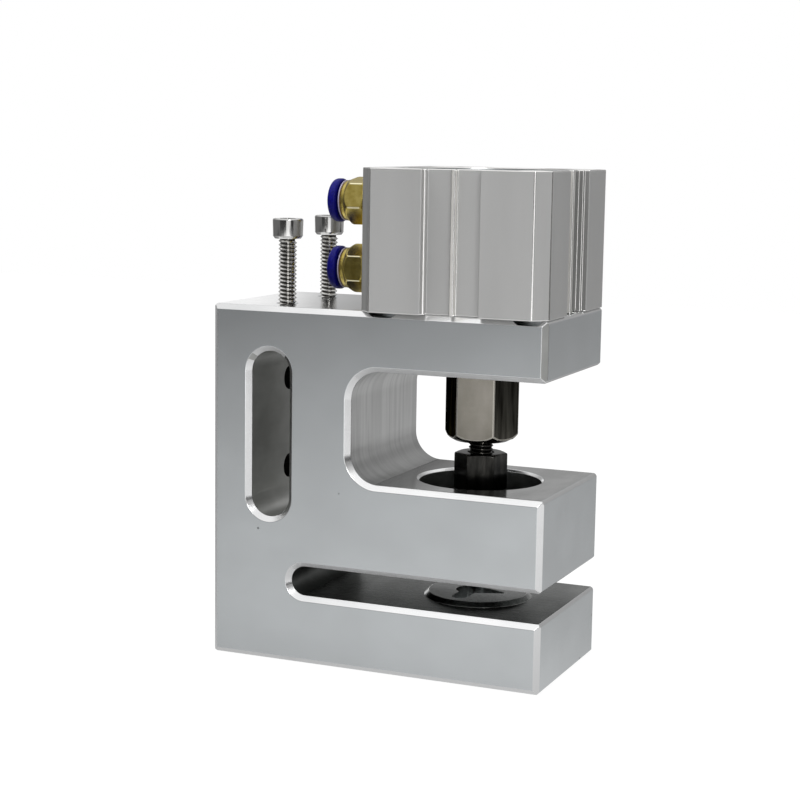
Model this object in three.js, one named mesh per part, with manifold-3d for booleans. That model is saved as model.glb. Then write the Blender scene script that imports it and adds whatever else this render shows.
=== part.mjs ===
// Pneumatic punching machine for film: a machined E-shaped block, a compact air cylinder on its
// upper arm, and a ram that drives a winged punch through the middle arm into a die in the lower arm.
// Millimetres, +Z up. X runs along the block from its closed side to its open end, and Y from the
// front face to the back one. The origin is the middle of the block's underside.

import * as THREE from 'three';
import { mergeVertices } from 'three/addons/utils/BufferGeometryUtils.js';
import Module from 'manifold-3d';

const wasm = await Module();
wasm.setup();

// Fits: the gap that still pieces keep from each other, that of sliding ones, and how far a cut overruns.
const seatGap = 0.3;
const slideGap = 0.08;
const overrun = 2;
const weldDistance = 1e-3;

// The block: its film slot and its throat open at the right end. The throat takes the height that the
// three arms and the slot leave. The faces stand in from the cylinder's sides, and the column and the
// slot's wall run from the closed end.
const block = {
  length: 114,
  height: 116,
  sideInset: 2.5,
  lowerArm: 22.5,
  filmSlot: 9.5,
  middleArm: 29,
  upperArm: 19,
  slotWall: 28.5,
  column: 49,
  throatRadius: 9.5,
  faceChamfer: 1.7,
  cornerChamfer: 0.9,
};

// The upright slot for the machine's bar, with two tapped holes through the wall behind it.
const barSlot = { width: 13.5, fromLeft: 20.5, topWall: 14.5, bottomWall: 47.5 };
const barHole = { diameter: 8, pitch: 30, mouth: 0.8 };

// The two screws that come down on the bar from the block's top.
const clampScrew = {
  inset: 13,
  diameter: 6,
  length: 35,
  tipInset: 0.5,
  headDiameter: 10,
  headHeight: 6.5,
  headChamfer: 0.5,
  socket: 5,
  socketDepth: 3,
};

// The compact cylinder: an extrusion with cut corners, sensor recesses, corner holes and two ports.
const cylinder = {
  width: 62,
  cornerCut: 4.2,
  endChamfer: 0.4,
  wall: 6,
  stroke: 15,
  stopGap: 0.6,
  boltInset: 7,
  counterboreRoom: 0.5,
  counterboreDepth: 7,
  portInset: 11.3,
  portDepth: 4.4,
  passageDiameter: 3.4,
  passageInset: 0.9,
};

// One sensor recess: a step part of the way down each wall, and a narrow rib along its floor.
const recess = { width: 19, depth: 3.6, stepDepth: 1.8, stepWidth: 0.6, ribWidth: 1.5, ribHeight: 1.7 };

// Covers and the spring rings that hold them.
const springRing = { inset: 1.1, thickness: 1.4, grooveDepth: 1, radialWidth: 2.6, mouthHalfAngle: 0.3 };
const ringLug = { radius: 2.6, holeDiameter: 2 };
const rodCover = { height: 10.1, noseHeight: 2.8, noseStep: 3 };
const headCover = { height: 4.2, dish: 1.2, rimWidth: 7 };
const coverSeal = { width: 1.8, depth: 1.5, fromBottom: 1.2 };
const rodSeal = { width: 3.6, depth: 3, fromBottom: 3.2 };

// The piston and its fastening.
const piston = { edgeCut: 1.8, sealLand: 0.3, sealWidth: 1.8, sealDepth: 2.4, middleLand: 1 };
const pistonScrew = { diameter: 8, length: 12, headDiameter: 13, headHeight: 3.4, socket: 5, socketDepth: 2 };

// The ram below the piston: rod, hexagon coupling, threaded stud, hexagon nut and punch.
const rod = { diameter: 20, noseDiameter: 10, noseLength: 9, noseChamfer: 1 };
const coupling = { flats: 21, web: 7.2, endCut: 2.8, endStep: 1.7, turn: 9, room: 2.5 };
const stud = { diameter: 8, length: 22, showing: 4, endChamfer: 0.7 };
const nut = { flats: 15, endCut: 0.8, endStep: 0.4, turn: 20, stopGap: 1 };
const punch = { tipRise: 2.5, spigotDiameter: 8, spigotLength: 3 };

// The winged outline of the hanging hole: two wings along Y and a lobe that points to the open end.
const wings = { span: 25.6, width: 5.2, offset: -2.4, lobeReach: 9.1, lobeTipRadius: 0.9, lobeRadius: 4.9 };
const dieClearance = 0.05;

// The punch bore in the middle arm, its guide plate, and the die in the lower arm. Their widths are
// worked out from the wings' span: what clears it, what stands round that, and the step outside.
const punchBore = { throughRoom: 3.7, ledgeWidth: 3.25, mouth: 0.8, ledge: 3.5 };
const guide = { height: 6, edgeCut: 0.6 };
const die = {
  reliefRoom: 0.7,
  spigotWall: 1.5,
  spigotLength: 14,
  rimWidth: 2.6,
  rimSlope: 1.5,
  rise: 1.4,
  land: 5,
};

// A push-in fitting for an 8 mm tube. Its lengths run outwards from the cylinder's face, and its
// widths are built up round the tube: sleeve, ring, and the walls of its thread and its hexagon.
const fitting = {
  tube: 8.2,
  airStep: 1.1,
  sleeveWall: 1.1,
  ringWall: 0.7,
  threadWall: 0.6,
  hexWall: 1.1,
  threadShowing: 9,
  hexLength: 7.1,
  hexCut: 0.6,
  hexTaper: 2.3,
  upperTurn: 15,
  lowerTurn: 2,
  shoulderLength: 1.6,
  shoulderRound: 0.4,
  tubeSeat: 4.6,
  ringRim: 0.3,
  ringRimWidth: 0.7,
  ringLength: 2.2,
  collarWall: 3,
  collarLength: 3.3,
  collarRound: 0.7,
  collarTravel: 0.7,
  collarGap: 0.1,
  sleeveLength: 5.8,
  gripThickness: 0.9,
  gripTeeth: 12,
  toothDepth: 0.7,
  sealThickness: 1.8,
  sealSpace: 1.02,
  innerGap: 0.2,
};

// How finely round forms are faceted.
const roundSides = 28;
const smallSides = 16;
const arcSteps = 6;
const hexSides = 6;

// Places that follow from the sizes.
const halfTurn = Math.PI;
const quarterTurn = Math.PI / 2;
const halfLength = block.length / 2;
const blockThickness = cylinder.width - 2 * block.sideInset;
const filmFloor = block.lowerArm;
const filmCeiling = filmFloor + block.filmSlot;
const throatFloor = filmCeiling + block.middleArm;
const blockTop = block.height;
const throatCeiling = blockTop - block.upperArm;
const ramX = halfLength - cylinder.width / 2;
const barX = barSlot.fromLeft - halfLength;
const barTop = blockTop - barSlot.topWall;
const barMiddle = (barTop + barSlot.bottomWall) / 2;
const clampPitch = blockThickness - 2 * clampScrew.inset;
const cylinderBore = cylinder.width - 2 * cylinder.wall;
const boltPitch = cylinder.width - 2 * cylinder.boltInset;
const boltHole = clampScrew.diameter + 2 * seatGap;
const pistonSealInset = piston.edgeCut + piston.sealLand;
const pistonHeight = 2 * (pistonSealInset + piston.sealWidth) + piston.middleLand;
const ringGroove = springRing.thickness + seatGap / 2;
const rodCoverBottom = springRing.inset + ringGroove;
const rodCoverTop = rodCoverBottom + rodCover.height;
const pistonBottom = rodCoverTop + cylinder.stopGap + cylinder.stroke;
const pistonTop = pistonBottom + pistonHeight;
const headCoverBottom = pistonTop + cylinder.stopGap;
const cylinderHeight = headCoverBottom + headCover.height + ringGroove + springRing.inset;
const boltLength = 50;
const clampHole = clampScrew.diameter + 2 * slideGap;

// The ram stands so high that its nut stops just over the guide plate when the stroke ends.
const punchTip = filmCeiling + punch.tipRise;
const guideBottom = filmCeiling + punchBore.ledge;
const guideTop = guideBottom + guide.height;
const studDepth = (stud.length - stud.showing) / 2;
const nutBottom = guideTop + cylinder.stroke + nut.stopGap;
const nutTop = nutBottom + punch.spigotLength + seatGap + studDepth;
const couplingBottom = nutTop + stud.showing;
const couplingTop = couplingBottom + studDepth + coupling.web + rod.noseLength;
const rodHole = coupling.flats + 2 * coupling.room;

// Round sizes that are built outwards from the winged outline.
const throughDiameter = wings.span + 2 * punchBore.throughRoom;
const punchBoreDiameter = throughDiameter + 2 * punchBore.ledgeWidth;
const reliefDiameter = wings.span + 2 * die.reliefRoom;
const spigotDiameter = reliefDiameter + 2 * die.spigotWall;
const rimDiameter = spigotDiameter + 2 * die.rimWidth;

// The fitting's widths from the tube outwards, then its heights from the mouth down to the tube's seat.
const ringHole = fitting.tube + 2 * fitting.sleeveWall;
const mouthDiameter = ringHole + 2 * fitting.ringWall;
const threadDiameter = mouthDiameter + 2 * fitting.threadWall;
const fittingFlats = mouthDiameter + 2 * fitting.hexWall;
const portDiameter = threadDiameter + 2 * seatGap;
const fittingMouth = fitting.threadShowing + fitting.hexLength + fitting.shoulderLength;
const collarStart = fittingMouth + fitting.ringRim + fitting.collarTravel + fitting.collarGap;
const gripTop = collarStart - fitting.sleeveLength - fitting.collarTravel - fitting.innerGap;
const gripBottom = gripTop - fitting.gripThickness;
const mouthFloor = gripBottom - fitting.sealSpace - fitting.sealThickness - slideGap;

const aluminium = new THREE.MeshStandardMaterial({ color: 0xb4b8bb, metalness: 0.9, roughness: 0.3 });
const anodised = new THREE.MeshStandardMaterial({ color: 0xa3a3a2, metalness: 0.7, roughness: 0.5 });
const steel = new THREE.MeshStandardMaterial({ color: 0xa8a69e, metalness: 0.9, roughness: 0.35 });
const dieSteel = new THREE.MeshStandardMaterial({ color: 0x6f7371, metalness: 0.9, roughness: 0.25 });
const blackSteel = new THREE.MeshStandardMaterial({ color: 0x17181a, metalness: 0.7, roughness: 0.35 });
const stainless = new THREE.MeshStandardMaterial({ color: 0xa9a59b, metalness: 1, roughness: 0.25 });
const brass = new THREE.MeshStandardMaterial({ color: 0xb08d48, metalness: 1, roughness: 0.3 });
const bluePlastic = new THREE.MeshStandardMaterial({ color: 0x1c2f7a, metalness: 0, roughness: 0.4 });
const greyPlastic = new THREE.MeshStandardMaterial({ color: 0x9a98ad, metalness: 0, roughness: 0.5 });
const rubber = new THREE.MeshStandardMaterial({ color: 0x1a1a1a, metalness: 0, roughness: 0.8 });

// Turns a closed three.js geometry into a solid that can be cut and joined.
function solid(geometry) {
  geometry.deleteAttribute('normal');
  geometry.deleteAttribute('uv');
  const merged = mergeVertices(geometry, weldDistance);
  const places = merged.attributes.position;
  const [a, b, c] = [new THREE.Vector3(), new THREE.Vector3(), new THREE.Vector3()];
  const faces = [];
  let volume = 0;
  for (let i = 0; i < merged.index.count; i += 3) {
    const face = [merged.index.getX(i), merged.index.getX(i + 1), merged.index.getX(i + 2)];
    if (new Set(face).size < face.length) continue;
    a.fromBufferAttribute(places, face[0]);
    b.fromBufferAttribute(places, face[1]);
    c.fromBufferAttribute(places, face[2]);
    volume += a.dot(b.cross(c));
    faces.push(face);
  }
  const outward = volume > 0 ? faces : faces.map((face) => [...face].reverse());
  const mesh = new wasm.Mesh({
    numProp: 3,
    vertProperties: Float32Array.from(places.array),
    triVerts: Uint32Array.from(outward.flat()),
  });
  return new wasm.Manifold(mesh);
}

// Turns a finished solid into the named mesh of one sub-part.
function piece(name, shape, material) {
  const { vertProperties, triVerts } = shape.getMesh();
  const geometry = new THREE.BufferGeometry();
  geometry.setAttribute('position', new THREE.BufferAttribute(vertProperties, 3));
  geometry.setIndex(new THREE.BufferAttribute(triVerts, 1));
  geometry.computeVertexNormals();
  const mesh = new THREE.Mesh(geometry, material);
  mesh.name = name;
  return mesh;
}

// A solid turned about Z from a closed profile of [radius, height] pairs.
function turned(profile, sides = roundSides) {
  const points = profile.map(([radius, height]) => new THREE.Vector2(radius, height));
  if (profile[0][0] > 0 || profile.at(-1)[0] > 0) points.push(points[0].clone());
  return solid(new THREE.LatheGeometry(points, sides).rotateX(quarterTurn));
}

function disc(diameter, bottom, top, sides = roundSides) {
  return turned([[0, bottom], [diameter / 2, bottom], [diameter / 2, top], [0, top]], sides);
}

function ring(outerDiameter, innerDiameter, bottom, top, sides = roundSides) {
  const outer = outerDiameter / 2;
  const inner = innerDiameter / 2;
  return turned([[inner, bottom], [outer, bottom], [outer, top], [inner, top]], sides);
}

// A cone-shaped cutter that breaks the edge of a hole: it widens upwards by its own height.
function mouthCut(diameter, chamfer, top, sides = roundSides) {
  const radius = diameter / 2;
  return turned([
    [0, top - chamfer],
    [radius, top - chamfer],
    [radius + chamfer + overrun, top + overrun],
    [0, top + overrun],
  ], sides);
}

// A prism raised along Z from an outline in X and Y.
function prism(outline, bottom, top) {
  const geometry = new THREE.ExtrudeGeometry(outline, {
    depth: top - bottom,
    bevelEnabled: false,
    curveSegments: arcSteps,
  });
  return solid(geometry.translate(0, 0, bottom));
}

// A prism whose outline lies in X and Z, run through the block from its front to its back face.
function crosswise(outline, thickness, chamfer) {
  const geometry = new THREE.ExtrudeGeometry(outline, {
    depth: thickness - 2 * chamfer,
    bevelEnabled: chamfer > 0,
    bevelSegments: 1,
    bevelThickness: chamfer,
    bevelSize: chamfer,
    bevelOffset: -chamfer,
    curveSegments: arcSteps,
  });
  return solid(geometry.rotateX(quarterTurn).translate(0, thickness / 2 - chamfer, 0));
}

// A hexagon's radius to its corners, from its width across the flats.
function cornerRadius(flats) {
  return flats / (2 * Math.cos(halfTurn / hexSides));
}

function hexagon(flats, turnDegrees) {
  const corner = cornerRadius(flats);
  const points = [];
  for (let i = 0; i < hexSides; i += 1) {
    const angle = (2 * i * halfTurn) / hexSides + THREE.MathUtils.degToRad(turnDegrees);
    points.push(new THREE.Vector2(corner * Math.cos(angle), corner * Math.sin(angle)));
  }
  return new THREE.Shape(points);
}

// A hexagon prism with both ends turned down to a cone.
function hexBar({ flats, turn, endCut, endStep }, bottom, top) {
  const bar = prism(hexagon(flats, turn), bottom, top);
  const corner = cornerRadius(flats);
  const end = flats / 2 - endStep;
  const widest = corner + seatGap;
  const envelope = turned([
    [0, bottom],
    [end, bottom],
    [widest, bottom + endCut],
    [widest, top - endCut],
    [end, top],
    [0, top],
  ]);
  return bar.intersect(envelope);
}

function hexSocket(flats, depth, top) {
  return prism(hexagon(flats, 0), top - depth, top + overrun);
}

// The block's E outline in X and Z. Its convex corners are cut at 45 degrees by the given size.
function blockOutline(cut) {
  const left = -halfLength;
  const right = halfLength;
  const slotLeft = left + block.slotWall;
  const slotRadius = block.filmSlot / 2;
  const throatLeft = left + block.column;
  const radius = block.throatRadius;
  const outline = new THREE.Shape();
  outline.moveTo(left + cut, 0);
  outline.lineTo(right - cut, 0);
  outline.lineTo(right, cut);
  outline.lineTo(right, filmFloor - cut);
  outline.lineTo(right - cut, filmFloor);
  outline.lineTo(slotLeft + slotRadius, filmFloor);
  outline.absarc(slotLeft + slotRadius, filmFloor + slotRadius, slotRadius, -quarterTurn, quarterTurn, true);
  outline.lineTo(right - cut, filmCeiling);
  outline.lineTo(right, filmCeiling + cut);
  outline.lineTo(right, throatFloor - cut);
  outline.lineTo(right - cut, throatFloor);
  outline.lineTo(throatLeft + radius, throatFloor);
  outline.absarc(throatLeft + radius, throatFloor + radius, radius, -quarterTurn, -halfTurn, true);
  outline.lineTo(throatLeft, throatCeiling - radius);
  outline.absarc(throatLeft + radius, throatCeiling - radius, radius, halfTurn, quarterTurn, true);
  outline.lineTo(right - cut, throatCeiling);
  outline.lineTo(right, throatCeiling + cut);
  outline.lineTo(right, blockTop - cut);
  outline.lineTo(right - cut, blockTop);
  outline.lineTo(left + cut, blockTop);
  outline.lineTo(left, blockTop - cut);
  outline.lineTo(left, cut);
  return outline;
}

function barSlotOutline() {
  const radius = barSlot.width / 2;
  const reach = barTop - barMiddle - radius;
  const outline = new THREE.Path();
  outline.absarc(barX, barMiddle + reach, radius, 0, halfTurn, false);
  outline.absarc(barX, barMiddle - reach, radius, halfTurn, 2 * halfTurn, false);
  return outline;
}

// The winged outline as a prism, grown evenly by a clearance.
function wingedPrism(grow, bottom, top) {
  const radius = wings.width / 2 + grow;
  const reach = (wings.span - wings.width) / 2;
  const bar = new THREE.Shape();
  bar.absarc(wings.offset, reach, radius, 0, halfTurn, false);
  bar.absarc(wings.offset, -reach, radius, halfTurn, 2 * halfTurn, false);
  const tipX = wings.lobeReach - wings.lobeTipRadius;
  const lean = Math.acos((wings.lobeRadius - wings.lobeTipRadius) / (tipX - wings.offset));
  const lobe = new THREE.Shape();
  lobe.absarc(tipX, 0, wings.lobeTipRadius + grow, -lean, lean, false);
  lobe.absarc(wings.offset, 0, wings.lobeRadius + grow, lean, 2 * halfTurn - lean, false);
  return prism(bar, bottom, top).add(prism(lobe, bottom, top));
}

function makeFrame() {
  const outline = blockOutline(0);
  outline.holes.push(barSlotOutline());
  let shape = crosswise(outline, blockThickness, block.faceChamfer);
  shape = shape.intersect(crosswise(blockOutline(block.cornerChamfer), blockThickness + 2 * overrun, 0));
  const cuts = [
    disc(rodHole, throatCeiling - overrun, blockTop + overrun),
    disc(punchBoreDiameter, guideBottom, throatFloor + overrun),
    mouthCut(punchBoreDiameter, punchBore.mouth, throatFloor),
    disc(throughDiameter, filmCeiling - overrun, guideBottom + overrun),
    disc(spigotDiameter + 2 * seatGap, filmFloor - die.spigotLength - seatGap, filmFloor + overrun),
    disc(reliefDiameter, -overrun, filmFloor),
  ];
  const pitch = boltPitch / 2;
  const boltTip = blockTop + cylinderHeight - cylinder.counterboreDepth - boltLength;
  for (const x of [-pitch, pitch]) {
    for (const y of [-pitch, pitch]) {
      const hole = disc(boltHole, boltTip - overrun, blockTop + overrun, smallSides);
      cuts.push(hole.translate(x, y, 0));
    }
  }
  for (const cut of cuts) shape = shape.subtract(cut.translate(ramX, 0, 0));
  for (const y of [-clampPitch / 2, clampPitch / 2]) {
    const hole = disc(clampHole, barMiddle, blockTop + overrun, smallSides);
    shape = shape.subtract(hole.translate(barX, y, 0));
  }
  for (const z of [-barHole.pitch / 2, barHole.pitch / 2]) {
    const depth = barSlot.fromLeft;
    const hole = disc(barHole.diameter, -depth, overrun, smallSides)
      .add(mouthCut(barHole.diameter, barHole.mouth, 0, smallSides));
    shape = shape.subtract(hole.rotate([0, -90, 0]).translate(-halfLength, 0, barMiddle + z));
  }
  return piece('frame', shape, aluminium);
}

// One face of the cylinder's outline, from its left corner cut to its right one, seen from outside.
function facePoints(withRecess) {
  const half = cylinder.width / 2;
  const edge = half - cylinder.cornerCut;
  if (!withRecess) return [[-edge, half], [edge, half]];
  const lip = recess.width / 2;
  const floorEdge = lip - recess.stepWidth;
  const step = half - recess.stepDepth;
  const floor = half - recess.depth;
  const rib = recess.ribWidth / 2;
  const ribTop = floor + recess.ribHeight;
  const left = [[-edge, half], [-lip, half], [-lip, step], [-floorEdge, step], [-floorEdge, floor]];
  const middle = [[-rib, floor], [-rib, ribTop], [rib, ribTop], [rib, floor]];
  const right = left.map(([across, out]) => [-across, out]).reverse();
  return [...left, ...middle, ...right];
}

function cylinderOutline() {
  const points = [];
  const faces = [
    { facing: 0, withRecess: true },
    { facing: quarterTurn, withRecess: true },
    { facing: halfTurn, withRecess: false },
    { facing: -quarterTurn, withRecess: true },
  ];
  for (const { facing, withRecess } of faces) {
    for (const [across, out] of facePoints(withRecess)) {
      const x = out * Math.cos(facing) - across * Math.sin(facing);
      const y = out * Math.sin(facing) + across * Math.cos(facing);
      points.push(new THREE.Vector2(x, y));
    }
  }
  return new THREE.Shape(points);
}

function makeCylinderBody() {
  const chamfer = cylinder.endChamfer;
  const geometry = new THREE.ExtrudeGeometry(cylinderOutline(), {
    depth: cylinderHeight - 2 * chamfer,
    bevelEnabled: true,
    bevelSegments: 1,
    bevelThickness: chamfer,
    bevelSize: chamfer,
    bevelOffset: -chamfer,
  });
  let shape = solid(geometry.translate(0, 0, chamfer));
  const groove = cylinderBore + 2 * springRing.grooveDepth;
  const upperGroove = cylinderHeight - springRing.inset - ringGroove;
  const cuts = [
    disc(cylinderBore, -overrun, cylinderHeight + overrun),
    disc(groove, springRing.inset, springRing.inset + ringGroove),
    disc(groove, upperGroove, upperGroove + ringGroove),
  ];
  const pitch = boltPitch / 2;
  const counterbore = clampScrew.headDiameter + 2 * cylinder.counterboreRoom;
  const counterboreFloor = cylinderHeight - cylinder.counterboreDepth;
  for (const x of [-pitch, pitch]) {
    for (const y of [-pitch, pitch]) {
      const hole = disc(boltHole, -overrun, cylinderHeight + overrun, smallSides)
        .add(disc(counterbore, -overrun, cylinder.counterboreDepth, smallSides))
        .add(disc(counterbore, counterboreFloor, cylinderHeight + overrun, smallSides));
      cuts.push(hole.translate(x, y, 0));
    }
  }
  const half = cylinder.width / 2;
  const passages = [
    [cylinder.portInset, rodCoverTop - cylinder.passageInset],
    [cylinderHeight - cylinder.portInset, headCoverBottom - cylinder.passageInset],
  ];
  for (const [portHeight, passageHeight] of passages) {
    const port = disc(portDiameter, half - cylinder.portDepth, half + overrun, smallSides);
    const passage = disc(cylinder.passageDiameter, 0, half - overrun, smallSides);
    cuts.push(port.rotate([0, -90, 0]).translate(0, 0, portHeight));
    cuts.push(passage.rotate([0, -90, 0]).translate(0, 0, passageHeight));
  }
  for (const cut of cuts) shape = shape.subtract(cut);
  return piece('cylinder_body', shape, anodised);
}

// An internal spring ring: an open band whose ends carry eyes for pliers.
function makeSpringRing(name, bottom) {
  const outer = cylinderBore / 2 + springRing.grooveDepth - seatGap / 2;
  const inner = outer - springRing.radialWidth;
  const reach = outer + overrun;
  const mouth = new THREE.Shape();
  mouth.lineTo(reach * Math.cos(springRing.mouthHalfAngle), -reach * Math.sin(springRing.mouthHalfAngle));
  mouth.lineTo(reach * Math.cos(springRing.mouthHalfAngle), reach * Math.sin(springRing.mouthHalfAngle));
  const top = bottom + springRing.thickness;
  let shape = ring(2 * outer, 2 * inner, bottom, top).subtract(prism(mouth, bottom - overrun, top + overrun));
  const eyeCentre = cylinderBore / 2 - ringLug.radius - seatGap;
  const eyeAngle = springRing.mouthHalfAngle + ringLug.radius / eyeCentre;
  for (const side of [-1, 1]) {
    const place = [eyeCentre * Math.cos(eyeAngle), side * eyeCentre * Math.sin(eyeAngle), 0];
    const eye = disc(2 * ringLug.radius, bottom, top, smallSides).translate(place);
    const hole = disc(ringLug.holeDiameter, bottom - overrun, top + overrun, smallSides).translate(place);
    shape = shape.add(eye).subtract(hole);
  }
  return piece(name, shape, blackSteel);
}

function makeRodCover() {
  const bottom = rodCoverBottom;
  const radius = cylinderBore / 2 - slideGap;
  const hole = rod.diameter / 2 + slideGap;
  const sealFloor = radius - coverSeal.depth;
  const sealBottom = bottom + coverSeal.fromBottom;
  const lipFloor = hole + rodSeal.depth;
  const lipBottom = bottom + rodSeal.fromBottom;
  const nose = cylinderBore / 2 - rodCover.noseStep;
  const noseBottom = rodCoverTop - rodCover.noseHeight;
  const profile = [
    [hole, bottom],
    [radius, bottom],
    [radius, sealBottom],
    [sealFloor, sealBottom],
    [sealFloor, sealBottom + coverSeal.width],
    [radius, sealBottom + coverSeal.width],
    [radius, noseBottom],
    [nose, noseBottom],
    [nose, rodCoverTop],
    [hole, rodCoverTop],
    [hole, lipBottom + rodSeal.width],
    [lipFloor, lipBottom + rodSeal.width],
    [lipFloor, lipBottom],
    [hole, lipBottom],
  ];
  return piece('rod_cover', turned(profile), anodised);
}

function makeHeadCover() {
  const bottom = headCoverBottom;
  const top = bottom + headCover.height;
  const radius = cylinderBore / 2 - slideGap;
  const sealBottom = bottom + coverSeal.fromBottom;
  const sealFloor = radius - coverSeal.depth;
  const dish = cylinderBore / 2 - headCover.rimWidth;
  const profile = [
    [0, bottom],
    [radius, bottom],
    [radius, sealBottom],
    [sealFloor, sealBottom],
    [sealFloor, sealBottom + coverSeal.width],
    [radius, sealBottom + coverSeal.width],
    [radius, top],
    [dish, top],
    [dish, top - headCover.dish],
    [0, top - headCover.dish],
  ];
  return piece('head_cover', turned(profile), anodised);
}

// A seal ring that fills its groove but for a small gap, with its outer corners broken.
function sealRing(name, outerDiameter, innerDiameter, bottom, width, sides = roundSides) {
  const outer = outerDiameter / 2;
  const inner = innerDiameter / 2;
  const cut = (outer - inner) / 4;
  const top = bottom + width;
  const profile = [
    [inner, bottom],
    [outer - cut, bottom],
    [outer, bottom + cut],
    [outer, top - cut],
    [outer - cut, top],
    [inner, top],
  ];
  return piece(name, turned(profile, sides), rubber);
}

function makeCoverSeal(name, coverBottom) {
  const outer = cylinderBore - slideGap;
  const inner = cylinderBore - 2 * slideGap - 2 * coverSeal.depth + slideGap;
  const bottom = coverBottom + coverSeal.fromBottom + slideGap;
  return sealRing(name, outer, inner, bottom, coverSeal.width - 2 * slideGap);
}

function makeRodSeal() {
  const inner = rod.diameter / 2 + slideGap / 2;
  const outer = rod.diameter / 2 + rodSeal.depth;
  const bottom = rodCoverBottom + rodSeal.fromBottom + slideGap;
  const top = bottom + rodSeal.width - 2 * slideGap;
  const lip = (outer - inner) / 4;
  const profile = [
    [inner + lip, bottom],
    [outer, bottom],
    [outer, top],
    [inner + 2 * lip, top],
    [inner + 2 * lip, top - lip],
    [inner + lip, top - lip],
    [inner, top],
    [inner, top - 2 * lip],
  ];
  return piece('rod_seal', turned(profile), rubber);
}

function makePiston() {
  const radius = cylinderBore / 2 - slideGap;
  const grooveFloor = radius - piston.sealDepth;
  const lower = pistonBottom + pistonSealInset;
  const upper = pistonTop - pistonSealInset - piston.sealWidth;
  const hole = pistonScrew.diameter / 2 + seatGap;
  const headHole = pistonScrew.headDiameter / 2 + seatGap;
  const headSeat = pistonTop - pistonScrew.headHeight - seatGap;
  const profile = [
    [hole, pistonBottom],
    [radius - piston.edgeCut, pistonBottom],
    [radius, pistonBottom + piston.edgeCut],
    [radius, lower],
    [grooveFloor, lower],
    [grooveFloor, lower + piston.sealWidth],
    [radius, lower + piston.sealWidth],
    [radius, upper],
    [grooveFloor, upper],
    [grooveFloor, upper + piston.sealWidth],
    [radius, upper + piston.sealWidth],
    [radius, pistonTop - piston.edgeCut],
    [radius - piston.edgeCut, pistonTop],
    [headHole, pistonTop],
    [headHole, headSeat],
    [hole, headSeat],
  ];
  return piece('piston', turned(profile), anodised);
}

function makePistonSeal(name, grooveBottom) {
  const outer = cylinderBore - slideGap;
  const inner = cylinderBore - 2 * slideGap - 2 * piston.sealDepth + slideGap;
  return sealRing(name, outer, inner, grooveBottom + slideGap, piston.sealWidth - 2 * slideGap);
}

// A socket head cap screw with its head's underside at zero and its shank below.
function capScrew(screw) {
  const head = screw.headDiameter / 2;
  const chamfer = screw.headChamfer ?? screw.headHeight / 8;
  const shank = screw.diameter / 2;
  const profile = [
    [0, -screw.length],
    [shank - chamfer, -screw.length],
    [shank, chamfer - screw.length],
    [shank, 0],
    [head, 0],
    [head, screw.headHeight - chamfer],
    [head - chamfer, screw.headHeight],
    [0, screw.headHeight],
  ];
  return turned(profile, smallSides).subtract(hexSocket(screw.socket, screw.socketDepth, screw.headHeight));
}

function makePistonScrew() {
  const seat = pistonTop - pistonScrew.headHeight - seatGap;
  return piece('piston_screw', capScrew(pistonScrew).translate(0, 0, seat), stainless);
}

function makePistonRod() {
  const radius = rod.diameter / 2;
  const nose = rod.noseDiameter / 2;
  const screwHole = pistonScrew.diameter / 2 + seatGap;
  const seat = pistonTop - pistonScrew.headHeight - seatGap;
  const holeFloor = blockTop + seat - pistonScrew.length - overrun;
  const top = blockTop + pistonBottom;
  const noseTip = couplingTop - rod.noseLength;
  const profile = [
    [0, noseTip],
    [nose - rod.noseChamfer, noseTip],
    [nose, noseTip + rod.noseChamfer],
    [nose, couplingTop],
    [radius, couplingTop],
    [radius, top],
    [screwHole, top],
    [screwHole, holeFloor],
    [0, holeFloor],
  ];
  return piece('piston_rod', turned(profile), steel);
}

function makeCoupling() {
  const bar = hexBar(coupling, couplingBottom, couplingTop);
  const noseTip = couplingTop - rod.noseLength - seatGap;
  const noseHole = disc(rod.noseDiameter + 2 * seatGap, noseTip, couplingTop + overrun, smallSides);
  const studTop = couplingBottom + studDepth + seatGap;
  const studHole = disc(stud.diameter + 2 * seatGap, couplingBottom - overrun, studTop, smallSides);
  return piece('rod_coupling', bar.subtract(noseHole).subtract(studHole), steel);
}

function makeStud() {
  const bottom = nutTop - studDepth;
  const top = bottom + stud.length;
  const radius = stud.diameter / 2;
  const profile = [
    [0, bottom],
    [radius - stud.endChamfer, bottom],
    [radius, bottom + stud.endChamfer],
    [radius, top - stud.endChamfer],
    [radius - stud.endChamfer, top],
    [0, top],
  ];
  return piece('punch_stud', turned(profile, smallSides), blackSteel);
}

function makeNut() {
  const bar = hexBar(nut, nutBottom, nutTop);
  const studBottom = nutTop - studDepth - seatGap;
  const studHole = disc(stud.diameter + 2 * seatGap, studBottom, nutTop + overrun, smallSides);
  const spigotDepth = punch.spigotLength + seatGap;
  const spigotHole = disc(
    punch.spigotDiameter + 2 * seatGap, nutBottom - overrun, nutBottom + spigotDepth, smallSides);
  return piece('punch_nut', bar.subtract(studHole).subtract(spigotHole), blackSteel);
}

function makePunch() {
  const spigot = disc(
    punch.spigotDiameter, nutBottom - overrun, nutBottom + punch.spigotLength, smallSides);
  return piece('punch', wingedPrism(0, punchTip, nutBottom).add(spigot), blackSteel);
}

function makeGuide() {
  const radius = punchBoreDiameter / 2 - seatGap;
  const plate = turned([
    [0, guideBottom],
    [radius, guideBottom],
    [radius, guideTop - guide.edgeCut],
    [radius - guide.edgeCut, guideTop],
    [0, guideTop],
  ]);
  const hole = wingedPrism(slideGap, guideBottom - overrun, guideTop + overrun);
  return piece('punch_guide', plate.subtract(hole), blackSteel);
}

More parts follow.
